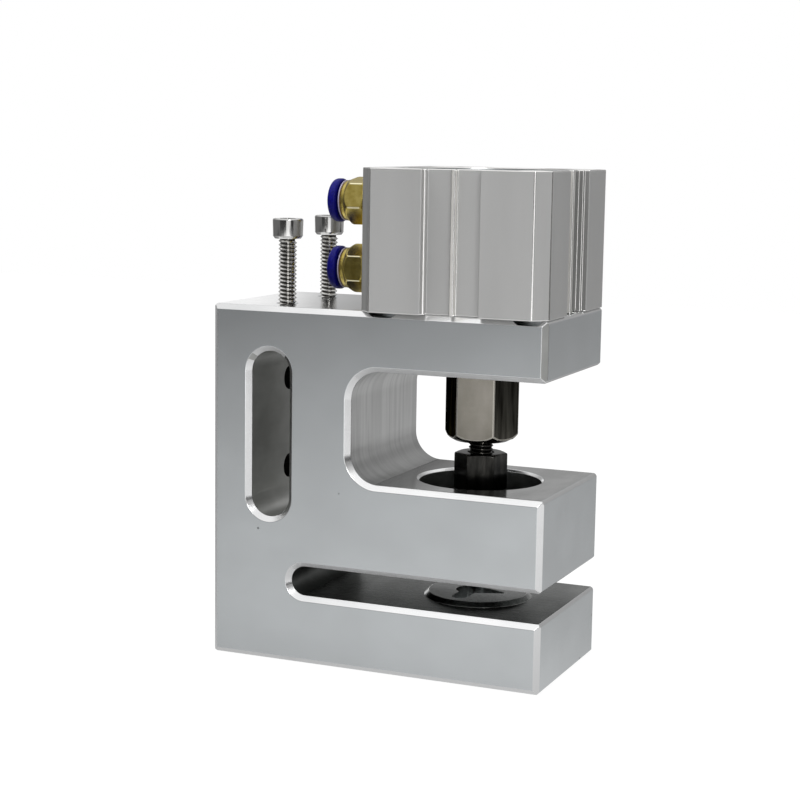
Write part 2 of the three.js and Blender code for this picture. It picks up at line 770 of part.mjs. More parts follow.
function makeDie() {
  const top = filmFloor + die.rise;
  const bottom = filmFloor - die.spigotLength;
  const body = turned([
    [0, bottom],
    [spigotDiameter / 2, bottom],
    [spigotDiameter / 2, filmFloor],
    [rimDiameter / 2, filmFloor],
    [rimDiameter / 2 - die.rimSlope, top],
    [0, top],
  ]);
  const hole = wingedPrism(dieClearance, bottom - overrun, top + overrun);
  const relief = disc(reliefDiameter, bottom - overrun, top - die.land);
  return piece('die_insert', body.subtract(hole).subtract(relief), dieSteel);
}

// The fitting's pieces are turned about Z, with zero at the cylinder's face and Z pointing away from it.
function makeFittingBody(name, turn) {
  const hexStart = fitting.threadShowing;
  const hexEnd = hexStart + fitting.hexLength;
  const thread = disc(threadDiameter, seatGap - cylinder.portDepth, hexStart + seatGap, smallSides);
  const corner = cornerRadius(fittingFlats);
  const shoulder = fittingFlats / 2;
  const envelope = turned([
    [0, hexStart],
    [corner - fitting.hexCut, hexStart],
    [corner + seatGap, hexStart + fitting.hexCut + seatGap],
    [corner + seatGap, hexEnd - fitting.hexTaper - seatGap],
    [shoulder, hexEnd],
    [shoulder, fittingMouth - fitting.shoulderRound],
    [shoulder - fitting.shoulderRound, fittingMouth],
    [0, fittingMouth],
  ]);
  const collarBar = disc(fittingFlats, hexEnd - seatGap, fittingMouth + overrun);
  const hex = prism(hexagon(fittingFlats, turn), hexStart, hexEnd).add(collarBar).intersect(envelope);
  const airHole = disc(fitting.tube - 2 * fitting.airStep, -cylinder.portDepth, fittingMouth, smallSides);
  const tubeHole = disc(fitting.tube, mouthFloor - fitting.tubeSeat, fittingMouth + overrun, smallSides);
  const mouth = disc(mouthDiameter, mouthFloor, fittingMouth + overrun, smallSides);
  const shape = thread.add(hex).subtract(airHole).subtract(tubeHole).subtract(mouth);
  return piece(name, shape, brass);
}

function makeFittingRing(name) {
  const hole = ringHole / 2;
  const sleeve = mouthDiameter / 2 - slideGap;
  const rim = mouthDiameter / 2 + fitting.ringRimWidth;
  const profile = [
    [hole, fittingMouth - fitting.ringLength],
    [sleeve, fittingMouth - fitting.ringLength],
    [sleeve, fittingMouth],
    [rim, fittingMouth],
    [rim, fittingMouth + fitting.ringRim],
    [hole, fittingMouth + fitting.ringRim],
  ];
  return piece(name, turned(profile, smallSides), greyPlastic);
}

function makeReleaseCollar(name) {
  const inner = fitting.tube / 2;
  const sleeve = ringHole / 2 - slideGap;
  const outer = inner + fitting.collarWall;
  const end = collarStart + fitting.collarLength;
  const round = fitting.collarRound;
  const profile = [
    [inner, collarStart - fitting.sleeveLength],
    [sleeve, collarStart - fitting.sleeveLength],
    [sleeve, collarStart],
    [outer, collarStart],
    [outer, end - round],
    [outer - round * (1 - Math.cos(quarterTurn / 2)), end - round * (1 - Math.sin(quarterTurn / 2))],
    [outer - round, end],
    [inner + round / 2, end],
    [inner, end - round / 2],
  ];
  return piece(name, turned(profile, smallSides), bluePlastic);
}

// The grip is a thin steel ring whose teeth bite the tube.
function makeFittingGrip(name) {
  const outer = mouthDiameter - 2 * slideGap;
  let shape = ring(outer, fitting.tube, gripBottom, gripTop, smallSides);
  const slot = new THREE.Shape();
  const root = fitting.tube / 2 + fitting.toothDepth;
  const halfAngle = halfTurn / fitting.gripTeeth / 2;
  slot.lineTo(root * Math.cos(halfAngle), -root * Math.sin(halfAngle));
  slot.lineTo(root * Math.cos(halfAngle), root * Math.sin(halfAngle));
  for (let i = 0; i < fitting.gripTeeth; i += 1) {
    const cutter = prism(slot, gripBottom - overrun, gripTop + overrun);
    shape = shape.subtract(cutter.rotate([0, 0, (i * 360) / fitting.gripTeeth]));
  }
  return piece(name, shape, stainless);
}

function makeFittingSeal(name) {
  const outer = mouthDiameter - 2 * slideGap;
  return sealRing(name, outer, fitting.tube, mouthFloor + slideGap, fitting.sealThickness, smallSides);
}

function makeFitting(side, height, turn) {
  const group = new THREE.Group();
  group.add(makeFittingBody(`${side}_fitting_body`, turn));
  group.add(makeFittingSeal(`${side}_fitting_seal`));
  group.add(makeFittingGrip(`${side}_fitting_grip`));
  group.add(makeFittingRing(`${side}_fitting_ring`));
  group.add(makeReleaseCollar(`${side}_release_collar`));
  group.rotation.y = -quarterTurn;
  group.position.set(-cylinder.width / 2, 0, height);
  return group;
}

function makeClampScrews() {
  const group = new THREE.Group();
  const showing = clampScrew.length - barSlot.topWall + clampScrew.tipInset;
  for (const [name, side] of [['clamp_screw_front', -1], ['clamp_screw_back', 1]]) {
    const screw = piece(name, capScrew(clampScrew), stainless);
    screw.position.set(barX, (side * clampPitch) / 2, blockTop + showing);
    group.add(screw);
  }
  return group;
}

function makeMountingBolts() {
  const group = new THREE.Group();
  const bolt = { ...clampScrew, length: boltLength, headHeight: clampScrew.diameter };
  const seat = cylinderHeight - cylinder.counterboreDepth;
  for (const [yName, ySide] of [['front', -1], ['back', 1]]) {
    for (const [xName, xSide] of [['left', -1], ['right', 1]]) {
      const mesh = piece(`mounting_bolt_${yName}_${xName}`, capScrew(bolt), stainless);
      mesh.position.set((xSide * boltPitch) / 2, (ySide * boltPitch) / 2, seat);
      group.add(mesh);
    }
  }
  return group;
}

// The cylinder stands on the block's top, over the ram's axis.
function makeCylinder() {
  const group = new THREE.Group();
  const upperRing = cylinderHeight - springRing.inset - ringGroove;
  const inRing = (ringGroove - springRing.thickness) / 2;
  group.add(makeCylinderBody());
  group.add(makeHeadCover());
  group.add(makeCoverSeal('head_cover_seal', headCoverBottom));
  group.add(makeSpringRing('head_retaining_ring', upperRing + inRing));
  group.add(makeRodCover());
  group.add(makeCoverSeal('rod_cover_seal', rodCoverBottom));
  group.add(makeRodSeal());
  group.add(makeSpringRing('rod_retaining_ring', springRing.inset + inRing));
  group.add(makePiston());
  group.add(makePistonSeal('lower_piston_seal', pistonBottom + pistonSealInset));
  group.add(makePistonSeal('upper_piston_seal', pistonTop - pistonSealInset - piston.sealWidth));
  group.add(makePistonScrew());
  group.add(makeMountingBolts());
  group.add(makeFitting('lower', cylinder.portInset, fitting.lowerTurn));
  group.add(makeFitting('upper', cylinderHeight - cylinder.portInset, fitting.upperTurn));
  group.position.set(ramX, 0, blockTop);
  return group;
}

// The pieces of the ram below the piston, with the guide and the die on the same axis.
function makePunchSet() {
  const group = new THREE.Group();
  group.add(makePistonRod());
  group.add(makeCoupling());
  group.add(makeStud());
  group.add(makeNut());
  group.add(makePunch());
  group.add(makeGuide());
  group.add(makeDie());
  group.position.set(ramX, 0, 0);
  return group;
}

const machine = new THREE.Group();
machine.add(makeFrame());
machine.add(makeClampScrews());
machine.add(makeCylinder());
machine.add(makePunchSet());

export default machine;
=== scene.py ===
# %% [markdown]
# # A pneumatic punching machine
# A small press that punches hanging holes in film. One aluminium block is milled into the shape of an E,
# and a square air cylinder on its upper arm drives a ram through the middle arm into a die in the lower
# one. The CAD frame gives every size and place. This lesson dresses it: each visible piece is rebuilt with
# fine round edges, and gets a finish made of nodes.

# %% Tools, units and the CAD frame
import math

import bmesh
import bpy
from mathutils import Matrix, Vector


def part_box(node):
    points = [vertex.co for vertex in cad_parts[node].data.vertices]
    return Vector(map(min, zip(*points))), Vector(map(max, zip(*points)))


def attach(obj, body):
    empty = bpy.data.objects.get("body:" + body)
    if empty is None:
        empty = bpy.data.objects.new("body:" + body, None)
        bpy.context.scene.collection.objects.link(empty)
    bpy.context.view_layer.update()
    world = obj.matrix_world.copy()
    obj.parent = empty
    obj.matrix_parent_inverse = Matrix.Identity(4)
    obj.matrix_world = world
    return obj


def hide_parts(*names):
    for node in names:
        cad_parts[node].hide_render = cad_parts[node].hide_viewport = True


MM = 0.001
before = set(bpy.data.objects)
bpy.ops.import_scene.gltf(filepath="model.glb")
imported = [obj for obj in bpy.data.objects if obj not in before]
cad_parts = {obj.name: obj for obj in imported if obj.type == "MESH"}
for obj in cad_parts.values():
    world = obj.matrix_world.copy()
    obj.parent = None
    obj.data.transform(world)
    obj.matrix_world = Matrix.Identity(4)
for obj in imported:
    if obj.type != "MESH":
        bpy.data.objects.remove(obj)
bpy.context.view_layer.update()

# %% [markdown]
# ## The camera
# The photograph was taken from the front and a little from the right and above. A camera in Blender looks
# along its own -Z axis, so its three axes are worked out from a heading, a tilt and a small roll, and set
# as a matrix.

# %% Camera
CAMERA_PLACE = Vector((0.2294, -0.5417, 0.1693))
CAMERA_HEADING = math.radians(23.2)
CAMERA_TILT = math.radians(8.18)
CAMERA_ROLL = math.radians(0.88)
FOCAL_PIXELS = 1813.1
PICTURE_PIXELS = 800


def make_camera():
    camera = bpy.data.objects.new("photo_camera", bpy.data.cameras.new("photo_camera"))
    bpy.context.scene.collection.objects.link(camera)
    forward = Vector((
        -math.sin(CAMERA_HEADING) * math.cos(CAMERA_TILT),
        math.cos(CAMERA_HEADING) * math.cos(CAMERA_TILT),
        -math.sin(CAMERA_TILT),
    ))
    level = Vector((math.cos(CAMERA_HEADING), math.sin(CAMERA_HEADING), 0))
    upright = level.cross(forward)
    right = math.cos(CAMERA_ROLL) * level + math.sin(CAMERA_ROLL) * upright
    up = math.cos(CAMERA_ROLL) * upright - math.sin(CAMERA_ROLL) * level
    turn = Matrix((right, up, -forward)).transposed().to_4x4()
    camera.matrix_world = Matrix.Translation(CAMERA_PLACE) @ turn
    camera.data.sensor_fit = "HORIZONTAL"
    camera.data.lens = camera.data.sensor_width * FOCAL_PIXELS / PICTURE_PIXELS
    camera.data.clip_start = 0.01
    bpy.context.scene.camera = camera
    return camera


camera = make_camera()
print("lens:", round(camera.data.lens, 1), "mm")

# %% [markdown]
# ## Finishes
# Metal shows its machining: faint streaks in its gloss, and a polish that differs from face to face.
# `new_finish` starts a material and gives it grain: noise that is stretched along the cut, and that drives
# both the roughness and a very low bump. The other functions change its colour, by clouds, by painted light
# and shade along an axis, or in specks.


# %% Functions for finishes
def add_node(owner, kind, values=(), **settings):
    """Adds a node to a finish or a world, with its settings and the values of its inputs."""
    node = owner.node_tree.nodes.new(kind)
    for setting, value in settings.items():
        setattr(node, setting, value)
    for socket, value in dict(values).items():
        node.inputs[socket].default_value = value
    return node


def grain_noise(finish, per_metre, detail=4):
    """Noise whose grains per metre differ along X, Y and Z, read from the object's own coordinates."""
    link = finish.node_tree.links.new
    place = add_node(finish, "ShaderNodeTexCoord")
    stretch = add_node(finish, "ShaderNodeMapping", {"Scale": per_metre})
    noise = add_node(finish, "ShaderNodeTexNoise", {"Scale": 1, "Detail": detail})
    link(place.outputs["Object"], stretch.inputs["Vector"])
    link(stretch.outputs["Vector"], noise.inputs["Vector"])
    return noise.outputs["Fac"]


def new_finish(name, colour, metallic, per_metre, roughness, bump):
    """A finish whose grain varies the roughness between two values and lifts a bump, in metres."""
    finish = bpy.data.materials.new(name)
    finish.use_nodes = True
    link = finish.node_tree.links.new
    shader = finish.node_tree.nodes["Principled BSDF"]
    shader.inputs["Base Color"].default_value = (*colour, 1)
    shader.inputs["Metallic"].default_value = metallic
    streaks = grain_noise(finish, per_metre)
    spread = add_node(finish, "ShaderNodeMapRange", {"To Min": roughness[0], "To Max": roughness[1]})
    relief = add_node(finish, "ShaderNodeBump", {"Strength": 1, "Distance": bump})
    link(streaks, spread.inputs["Value"])
    link(spread.outputs["Result"], shader.inputs["Roughness"])
    link(streaks, relief.inputs["Height"])
    link(relief.outputs["Normal"], shader.inputs["Normal"])
    return finish


def tint_by(finish, per_metre, detail, low, high, start=0.35, end=0.65):
    """Clouds of noise take the base colour from one colour to another."""
    link = finish.node_tree.links.new
    ramp = add_node(finish, "ShaderNodeValToRGB")
    for element, place, colour in zip(ramp.color_ramp.elements, (start, end), (low, high)):
        element.position = place
        element.color = (*colour, 1)
    link(grain_noise(finish, per_metre, detail), ramp.inputs["Fac"])
    link(ramp.outputs["Color"], finish.node_tree.nodes["Principled BSDF"].inputs["Base Color"])


def shade_by(finish, value, start, stop, greys):
    """Multiplies the base colour by a grey that changes as the value goes from start to stop."""
    link = finish.node_tree.links.new
    base = finish.node_tree.nodes["Principled BSDF"].inputs["Base Color"]
    grey = add_node(finish, "ShaderNodeMapRange",
                    {"From Min": start, "From Max": stop, "To Min": greys[0], "To Max": greys[1]})
    shade = add_node(finish, "ShaderNodeMix", {"Factor": 1}, data_type="RGBA", blend_type="MULTIPLY")
    link(value, grey.inputs["Value"])
    link(base.links[0].from_socket, shade.inputs["A"])
    link(grey.outputs["Result"], shade.inputs["B"])
    link(shade.outputs["Result"], base)


def shade_along(finish, axis, start, stop, greys):
    """The shade changes between two places along one axis, in metres."""
    place = add_node(finish, "ShaderNodeTexCoord")
    parts = add_node(finish, "ShaderNodeSeparateXYZ")
    finish.node_tree.links.new(place.outputs["Object"], parts.inputs[0])
    shade_by(finish, parts.outputs[axis], start, stop, greys)


def add_specks(finish, per_metre, size, grey):
    """Dark specks lie here and there, where a cell's middle happens to come near the surface."""
    place = add_node(finish, "ShaderNodeTexCoord")
    cells = add_node(finish, "ShaderNodeTexVoronoi", {"Scale": per_metre})
    finish.node_tree.links.new(place.outputs["Object"], cells.inputs["Vector"])
    shade_by(finish, cells.outputs["Distance"], size * 0.5, size, (grey, 1))


# %% [markdown]
# Most of what looks like a metal's colour is what it reflects, so the base colours only differ a little.
# Each line below gives a finish its grain, and the next gives it clouds of a slightly other colour, as
# hands, oil and wear leave them. A sawn or turned face has its grain along the cut: few streaks per metre
# along it, many across. The lines with `shade_along` paint light, shade and reflections along one axis,
# and the dark finishes of the slots, the bore and the tapped holes are painted shade as well.

# %% The finishes of the block
CLOUDS = (45, 45, 60)
EVEN_GRAIN = (300, 300, 300)

milled = new_finish("milled aluminium", (0.8, 0.81, 0.815), 1, (40, 40, 1400), (0.245, 0.28), 1.5e-7)
tint_by(milled, CLOUDS, 6, (0.755, 0.785, 0.8), (0.8, 0.832, 0.85))
add_specks(milled, 60, 0.03, 0.4)

throat_wall = new_finish("rubbed throat wall, painted shade", (0.7, 0.705, 0.7), 1, (900, 40, 900), (0.24, 0.36), 3e-7)
tint_by(throat_wall, (90, 520, 24), 12, (0.74, 0.745, 0.74), (0.9, 0.905, 0.9), 0.34, 0.62)
# Painted shade: the throat wall grows darker towards the throat floor below it.
shade_along(throat_wall, "Z", 0.061, 0.073, (0.42, 1))

polished = new_finish("polished aluminium", (0.74, 0.75, 0.755), 1, (50, 1200, 50), (0.09, 0.16), 1.2e-7)
tint_by(polished, CLOUDS, 6, (0.93, 0.935, 0.94), (1, 1, 1))
# Painted reflection: the polished level faces darken from x = -45 mm to -15 mm and stay darker to the right,
# as the block's top mirrors the dark cylinder there.
shade_along(polished, "X", -0.045, -0.015, (1, 0.74))

throat_floor = new_finish("smudged throat floor, painted reflection", (0.7, 0.705, 0.7), 1, (50, 1200, 50), (0.1, 0.18), 1.2e-7)
tint_by(throat_floor, (130, 60, 60), 10, (0.8, 0.805, 0.8), (0.98, 0.985, 0.98))
# Painted reflection: the throat floor darkens strongly towards its inner end, left of x = 22 mm, where it
# mirrors the dark parts above it.
shade_along(throat_floor, "X", 0.003, 0.022, (0.14, 1))

bright_cut = new_finish("bright aluminium chamfer", (0.93, 0.935, 0.94), 1, EVEN_GRAIN, (0.17, 0.25), 4e-7)

upper_cut = new_finish("polished upward chamfer", (0.9, 0.9, 0.9), 1, EVEN_GRAIN, (0.17, 0.25), 4e-7)
tint_by(upper_cut, CLOUDS, 6, (0.92, 0.925, 0.93), (1, 1, 1))
# Painted light: the upward chamfers grow lighter to the right, from x = -50 mm to 20 mm, where light falls
# past the cylinder onto them.
shade_along(upper_cut, "X", -0.05, 0.02, (0.8, 1))

lower_cut = new_finish("satin downward chamfer", (0.95, 0.955, 0.96), 1, EVEN_GRAIN, (0.55, 0.65), 4e-7)

# The dull grey of the slot walls is partly the cut surface and partly painted shade inside the slot.
slot_wall = new_finish("dull cut aluminium, painted shade", (0.42, 0.425, 0.41), 1, (900, 50, 900), (0.36, 0.48), 5e-7)
tint_by(slot_wall, (70, 35, 50), 8, (0.46, 0.465, 0.45), (0.66, 0.665, 0.65))

# Painted shade: the film slot's end and the punch bore are painted dark inside; the clouds over it are oil.
slot_end = new_finish("oily cut aluminium, painted shade", (0.2, 0.205, 0.2), 1, (1600, 60, 1600), (0.34, 0.48), 1e-6)
tint_by(slot_end, (90, 50, 90), 8, (0.12, 0.125, 0.12), (0.26, 0.265, 0.26))

# Painted shade: the film slot's floor and ceiling are painted dark inside the slot.
slot_floor = new_finish("rubbed slot floor, painted shade", (0.26, 0.27, 0.265), 1, (80, 1600, 80), (0.22, 0.34), 6e-7)
tint_by(slot_floor, (80, 45, 80), 8, (0.22, 0.228, 0.224), (0.39, 0.4, 0.395))

# Painted shade: the tapped holes are painted nearly black inside.
tapped_hole = new_finish("tapped hole", (0.05, 0.05, 0.048), 1, (900, 900, 900), (0.4, 0.6), 4e-6)

print("materials so far:", len(bpy.data.materials))

# %% [markdown]
# The cylinder's body is extruded and then anodised, which leaves a dull, even grey with fine lines along
# its height. A painted picture could show the lines, but noise whose grains are drawn out along Z follows
# every face by itself. Where the grey skin has worn off, along edges and ribs, the bare metal shines, and
# that bright colour is also a painted highlight. A darker grey is painted shade on the side recess and the
# left front corner.

# %% The finishes of the cylinder
EXTRUDED = (2600, 2600, 1200)

anodised = new_finish("matte anodised aluminium", (0.5, 0.5, 0.495), 0.7, EXTRUDED, (0.48, 0.56), 8e-7)
tint_by(anodised, (55, 55, 12), 8, (0.51, 0.51, 0.505), (0.55, 0.55, 0.545))

# Painted shade: a darker copy of the anodised grey, for the side recess and the left front corner.
painted_shade_anodised = new_finish("anodised aluminium, painted shade", (0.25, 0.25, 0.245), 0.7, EXTRUDED,
                           (0.48, 0.56), 8e-7)
tint_by(painted_shade_anodised, (300, 300, 20), 8, (0.25, 0.25, 0.245), (0.35, 0.35, 0.345))

# The rib is rubbed bright, and its pale colour is also a painted highlight.
rubbed_rib_and_highlight = new_finish("rubbed anodised rib, painted highlight", (0.76, 0.745, 0.71), 0.8, (2600, 2600, 300),
                        (0.36, 0.48), 8e-7)
tint_by(rubbed_rib_and_highlight, (900, 900, 90), 8, (0.84, 0.825, 0.79), (1, 0.985, 0.95))

# Edges rubbed bright, and a painted highlight along them.
worn_edge_and_highlight = new_finish("edge rubbed bright, painted highlight", (0.96, 0.955, 0.94), 1, (700, 700, 200), (0.16, 0.26), 6e-7)

# %% [markdown]
# The coupling, the nut and the stud are steel under a brown or black skin. Such a skin still mirrors the
# room, so a dark base colour and a low roughness do more than any pattern. Only the die and the cap screws
# are bare. The near-black root finish is painted shade, which makes the gaps between the screws' threads
# look deep.

# %% The finishes of the steel pieces
ground_steel = new_finish("browned steel", (0.21, 0.2, 0.175), 1, (150, 150, 2600), (0.11, 0.17), 2e-7)
tint_by(ground_steel, (120, 120, 60), 6, (0.18, 0.17, 0.145), (0.24, 0.225, 0.2))

rubbed_steel = new_finish("steel edge rubbed pale", (0.42, 0.4, 0.36), 1, (400, 400, 400), (0.18, 0.3), 4e-7)

die_steel = new_finish("hardened die steel", (0.3, 0.31, 0.305), 1, (700, 700, 700), (0.1, 0.2), 4e-7)
tint_by(die_steel, (700, 700, 700), 4, (0.34, 0.35, 0.345), (0.48, 0.49, 0.485))

# A much darker steel for the coupling's flats that face left and right.
side_flat_steel = new_finish("darker steel of the side flats", (0.05, 0.048, 0.042), 1, (900, 900, 90), (0.12, 0.22), 3e-7)
side_flat_steel.node_tree.nodes["Principled BSDF"].inputs["Specular Tint"].default_value = (0.2, 0.2, 0.19, 1)
tint_by(side_flat_steel, (700, 700, 60), 8, (0.04, 0.038, 0.032), (0.15, 0.145, 0.125))

black_oxide = new_finish("black oxide steel", (0.04, 0.04, 0.038), 1, (500, 500, 2200), (0.13, 0.22), 3e-7)
tint_by(black_oxide, (300, 300, 60), 8, (0.015, 0.015, 0.014), (0.065, 0.063, 0.058), 0.4, 0.62)

bright_steel = new_finish("bright stainless steel", (0.68, 0.675, 0.665), 1, (1200, 1200, 300),
                          (0.07, 0.13), 4e-7)

thread_steel = new_finish("rolled steel thread", (0.7, 0.69, 0.67), 1, (900, 900, 1400), (0.08, 0.16), 6e-7)
tint_by(thread_steel, (900, 900, 1400), 4, (0.62, 0.61, 0.59), (0.86, 0.85, 0.83))

# Painted shade: the thread root is near black, so the gaps between the ridges look deep.
thread_root_shade = new_finish("thread root, painted shade", (0.02, 0.018, 0.015), 1, (900, 900, 900), (0.3, 0.45), 8e-7)

# %% [markdown]
# The fittings are brass bar, turned round their own axis, with pale rubbed edges whose pale colour is also
# a painted highlight. The collars are moulded plastic. Plastic isn't a metal, so its colour comes from below
# the surface, and a low specular level keeps that blue deep.

# %% The finishes of the fittings
turned_brass = new_finish("turned brass", (0.55, 0.44, 0.16), 1, (2600, 900, 900), (0.16, 0.28), 1e-6)
tint_by(turned_brass, (450, 450, 450), 8, (0.48, 0.37, 0.085), (0.64, 0.52, 0.16))

# Edges rubbed pale, and a painted highlight along them.
brass_edge_and_highlight = new_finish("brass edge rubbed pale, painted highlight", (1, 0.92, 0.62), 1, (900, 900, 900), (0.14, 0.22), 6e-7)

blue_plastic = new_finish("blue moulded plastic", (0.004, 0.004, 0.1), 0, (1800, 1800, 1800),
                          (0.3, 0.42), 3e-6)
blue_plastic.node_tree.nodes["Principled BSDF"].inputs["Specular IOR Level"].default_value = 0.12
tint_by(blue_plastic, (1800, 1800, 1800), 4, (0.001, 0.001, 0.08), (0.003, 0.003, 0.13))

grey_plastic = new_finish("lavender grey plastic", (0.33, 0.3, 0.4), 0, (1500, 1500, 1500), (0.4, 0.5), 3e-6)
seal_rubber = new_finish("seal rubber", (0.02, 0.02, 0.02), 0, (2500, 2500, 2500), (0.6, 0.8), 8e-6)

print("materials in all:", len(bpy.data.materials))

# %% [markdown]
# ## Shapes
# Nearly every piece here was turned on a lathe, milled from a plate or cut from hexagon bar. So a few
# functions are enough: `turned` spins a profile about Z, `plug` makes a plain cylinder that way, `prism`
# raises an outline, and `cut` and `combine` bring solids together with an exact boolean. `finish_edges`
# then rounds every sharp edge by a tenth of a millimetre or so, because real edges always catch a thin line
# of light.

# %% Functions for shapes
FINE_STEPS = 96
SMALL_STEPS = 64
SHARP_ANGLE = 38


def mesh_object(name, shape, finishes):
    mesh = bpy.data.meshes.new(name)
    bmesh.ops.recalc_face_normals(shape, faces=shape.faces)
    shape.to_mesh(mesh)
    shape.free()
    for finish in finishes:
        mesh.materials.append(finish)
    made = bpy.data.objects.new(name, mesh)
    bpy.context.scene.collection.objects.link(made)
    return made


def arc(centre, radius, start, end, steps=24):
    """Points on an arc between two angles in degrees, both ends included."""
    angles = [math.radians(start + (end - start) * i / steps) for i in range(steps + 1)]
    return [(centre[0] + radius * math.cos(a), centre[1] + radius * math.sin(a)) for a in angles]


def turned(name, profile, finish, steps=FINE_STEPS, centre=(0, 0)):
    """A solid of revolution about a vertical axis, from (radius, height) pairs in millimetres."""
    shape = bmesh.new()
    rings = []
    for radius, height in profile:
        if radius == 0:
            rings.append([shape.verts.new((0, 0, height * MM))])
            continue
        places = arc((0, 0), radius * MM, 0, 360, steps)[:-1]
        rings.append([shape.verts.new((x, y, height * MM)) for x, y in places])
    closed = profile[0][0] > 0 and profile[-1][0] > 0
    for lower, upper in zip(rings, rings[1:] + rings[:1] if closed else rings[1:]):
        for i in range(steps):
            j = (i + 1) % steps
            corners = [ring[k % len(ring)] for ring, k in ((lower, i), (lower, j), (upper, j), (upper, i))]
            shape.faces.new(list(dict.fromkeys(corners)))
    bmesh.ops.translate(shape, verts=shape.verts, vec=(centre[0] * MM, centre[1] * MM, 0))
    return mesh_object(name, shape, [finish])


def plug(name, diameter, low, high, finish, centre=(0, 0), steps=SMALL_STEPS):
    """A plain cylinder between two heights, to drill with or to add."""
    radius = diameter / 2
    return turned(name, [(0, low), (radius, low), (radius, high), (0, high)], finish, steps, centre)


def prism(name, outline, bottom, top, finish, centre=(0, 0)):
    """An outline of (x, y) pairs in millimetres, raised from one height to another."""
    shape = bmesh.new()
    face = shape.faces.new([shape.verts.new(((x + centre[0]) * MM, (y + centre[1]) * MM, bottom * MM))
                            for x, y in outline])
    raised = bmesh.ops.extrude_face_region(shape, geom=[face])
    corners = [item for item in raised["geom"] if isinstance(item, bmesh.types.BMVert)]
    bmesh.ops.translate(shape, verts=corners, vec=(0, 0, (top - bottom) * MM))
    return mesh_object(name, shape, [finish])


def hexagon(flats, turn=0):
    return arc((0, 0), flats / math.sqrt(3), turn, turn + 360, 6)[:-1]


def put(made, matrix):
    made.data.transform(matrix)
    return made


def apply_modifiers(made):
    evaluated = made.evaluated_get(bpy.context.evaluated_depsgraph_get())
    mesh = bpy.data.meshes.new_from_object(evaluated)
    made.modifiers.clear()
    made.data = mesh
    return made


def combine(made, tool, operation, keep=False):
    modifier = made.modifiers.new("boolean", "BOOLEAN")
    modifier.operation = operation
    modifier.object = tool
    modifier.solver = "EXACT"
    modifier.material_mode = "TRANSFER"
    apply_modifiers(made)
    if not keep:
        bpy.data.objects.remove(tool)
    return made


def cut(made, *tools):
    for tool in tools:
        combine(made, tool, "DIFFERENCE")
    return made


def finish_edges(made, width, segments=2, angle=30, edge_finish=None):
    """Rounds the sharp edges by a width in millimetres, then keeps flat faces flat in their shading."""
    weld = bmesh.new()
    weld.from_mesh(made.data)
    bmesh.ops.remove_doubles(weld, verts=weld.verts, dist=2e-6)
    bmesh.ops.dissolve_degenerate(weld, edges=weld.edges, dist=2e-6)
    weld.to_mesh(made.data)
    weld.free()
    if width:
        bevel = made.modifiers.new("edges", "BEVEL")
        bevel.width = width * MM
        bevel.segments = segments
        bevel.limit_method = "ANGLE"
        bevel.angle_limit = math.radians(angle)
        bevel.use_clamp_overlap = False
        if edge_finish:
            made.data.materials.append(edge_finish)
            bevel.material = len(made.data.materials) - 1
        apply_modifiers(made)
    made.data.polygons.foreach_set("use_smooth", [True] * len(made.data.polygons))
    made.data.set_sharp_from_angle(angle=math.radians(SHARP_ANGLE))
    weights = made.modifiers.new("normals", "WEIGHTED_NORMAL")
    weights.keep_sharp = True
    return apply_modifiers(made)


def heights(node):
    """The lowest and highest point of a CAD node, in millimetres."""
    return [corner[2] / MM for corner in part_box(node)]


def middle(node):
    """The middle of a CAD node seen from above, in millimetres."""
    low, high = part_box(node)
    return tuple((a + b) / 2 / MM for a, b in zip(low[:2], high[:2]))


def stand_for(made, node, body):
    """The piece takes the place of a CAD node and moves with that node's body."""
    made.name = made.data.name = node + "_look"
    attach(made, body)
    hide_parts(node)
    return made


# %% [markdown]
# ## The block
# The block's outline in X and Z is an E with a long upright slot. Every edge of its two big faces has a
# milled and polished chamfer, which shows as a bright line in the photograph. The outline is raised,
# bevelled once at that size, and then drilled.

# %% Block dimensions, taken from the CAD frame
block_low, block_high = [[value / MM for value in corner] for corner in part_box("frame")]
LEFT, RIGHT = block_low[0], block_high[0]
HALF_THICK = block_high[1]
BLOCK_TOP = block_high[2]
FILM_FLOOR, FILM_CEILING = 22.5, 32
THROAT_FLOOR, THROAT_CEILING = 61, 97
THROAT_LEFT, THROAT_RADIUS = RIGHT - 65, 9.5
SLOT_LEFT = RIGHT - 85.5
RAM_X = middle("piston_rod")[0]
BAR_X, BAR_WIDTH, BAR_LOW, BAR_HIGH = LEFT + 20.5, 13.5, 47.5, 101.5
FACE_CHAMFER, CORNER_CHAMFER = 1.7, 0.9
OVERRUN = 2

CORNERS = [(LEFT, 0, 1, 1), (RIGHT, 0, -1, 1), (RIGHT, FILM_FLOOR, -1, -1), (RIGHT, FILM_CEILING, -1, 1),
           (RIGHT, THROAT_FLOOR, -1, -1), (RIGHT, THROAT_CEILING, -1, 1), (RIGHT, BLOCK_TOP, -1, -1),
           (LEFT, BLOCK_TOP, 1, -1)]


def block_outline():
    slot_radius = (FILM_CEILING - FILM_FLOOR) / 2
    slot_end = (SLOT_LEFT + slot_radius, FILM_FLOOR + slot_radius)
    throat_x = THROAT_LEFT + THROAT_RADIUS
    points = [(LEFT, 0), (RIGHT, 0), (RIGHT, FILM_FLOOR)]
    points += arc(slot_end, slot_radius, 270, 90, 32)
    points += [(RIGHT, FILM_CEILING), (RIGHT, THROAT_FLOOR)]
    points += arc((throat_x, THROAT_FLOOR + THROAT_RADIUS), THROAT_RADIUS, 270, 180)
    points += arc((throat_x, THROAT_CEILING - THROAT_RADIUS), THROAT_RADIUS, 180, 90)
    points += [(RIGHT, THROAT_CEILING), (RIGHT, BLOCK_TOP), (LEFT, BLOCK_TOP)]
    return points


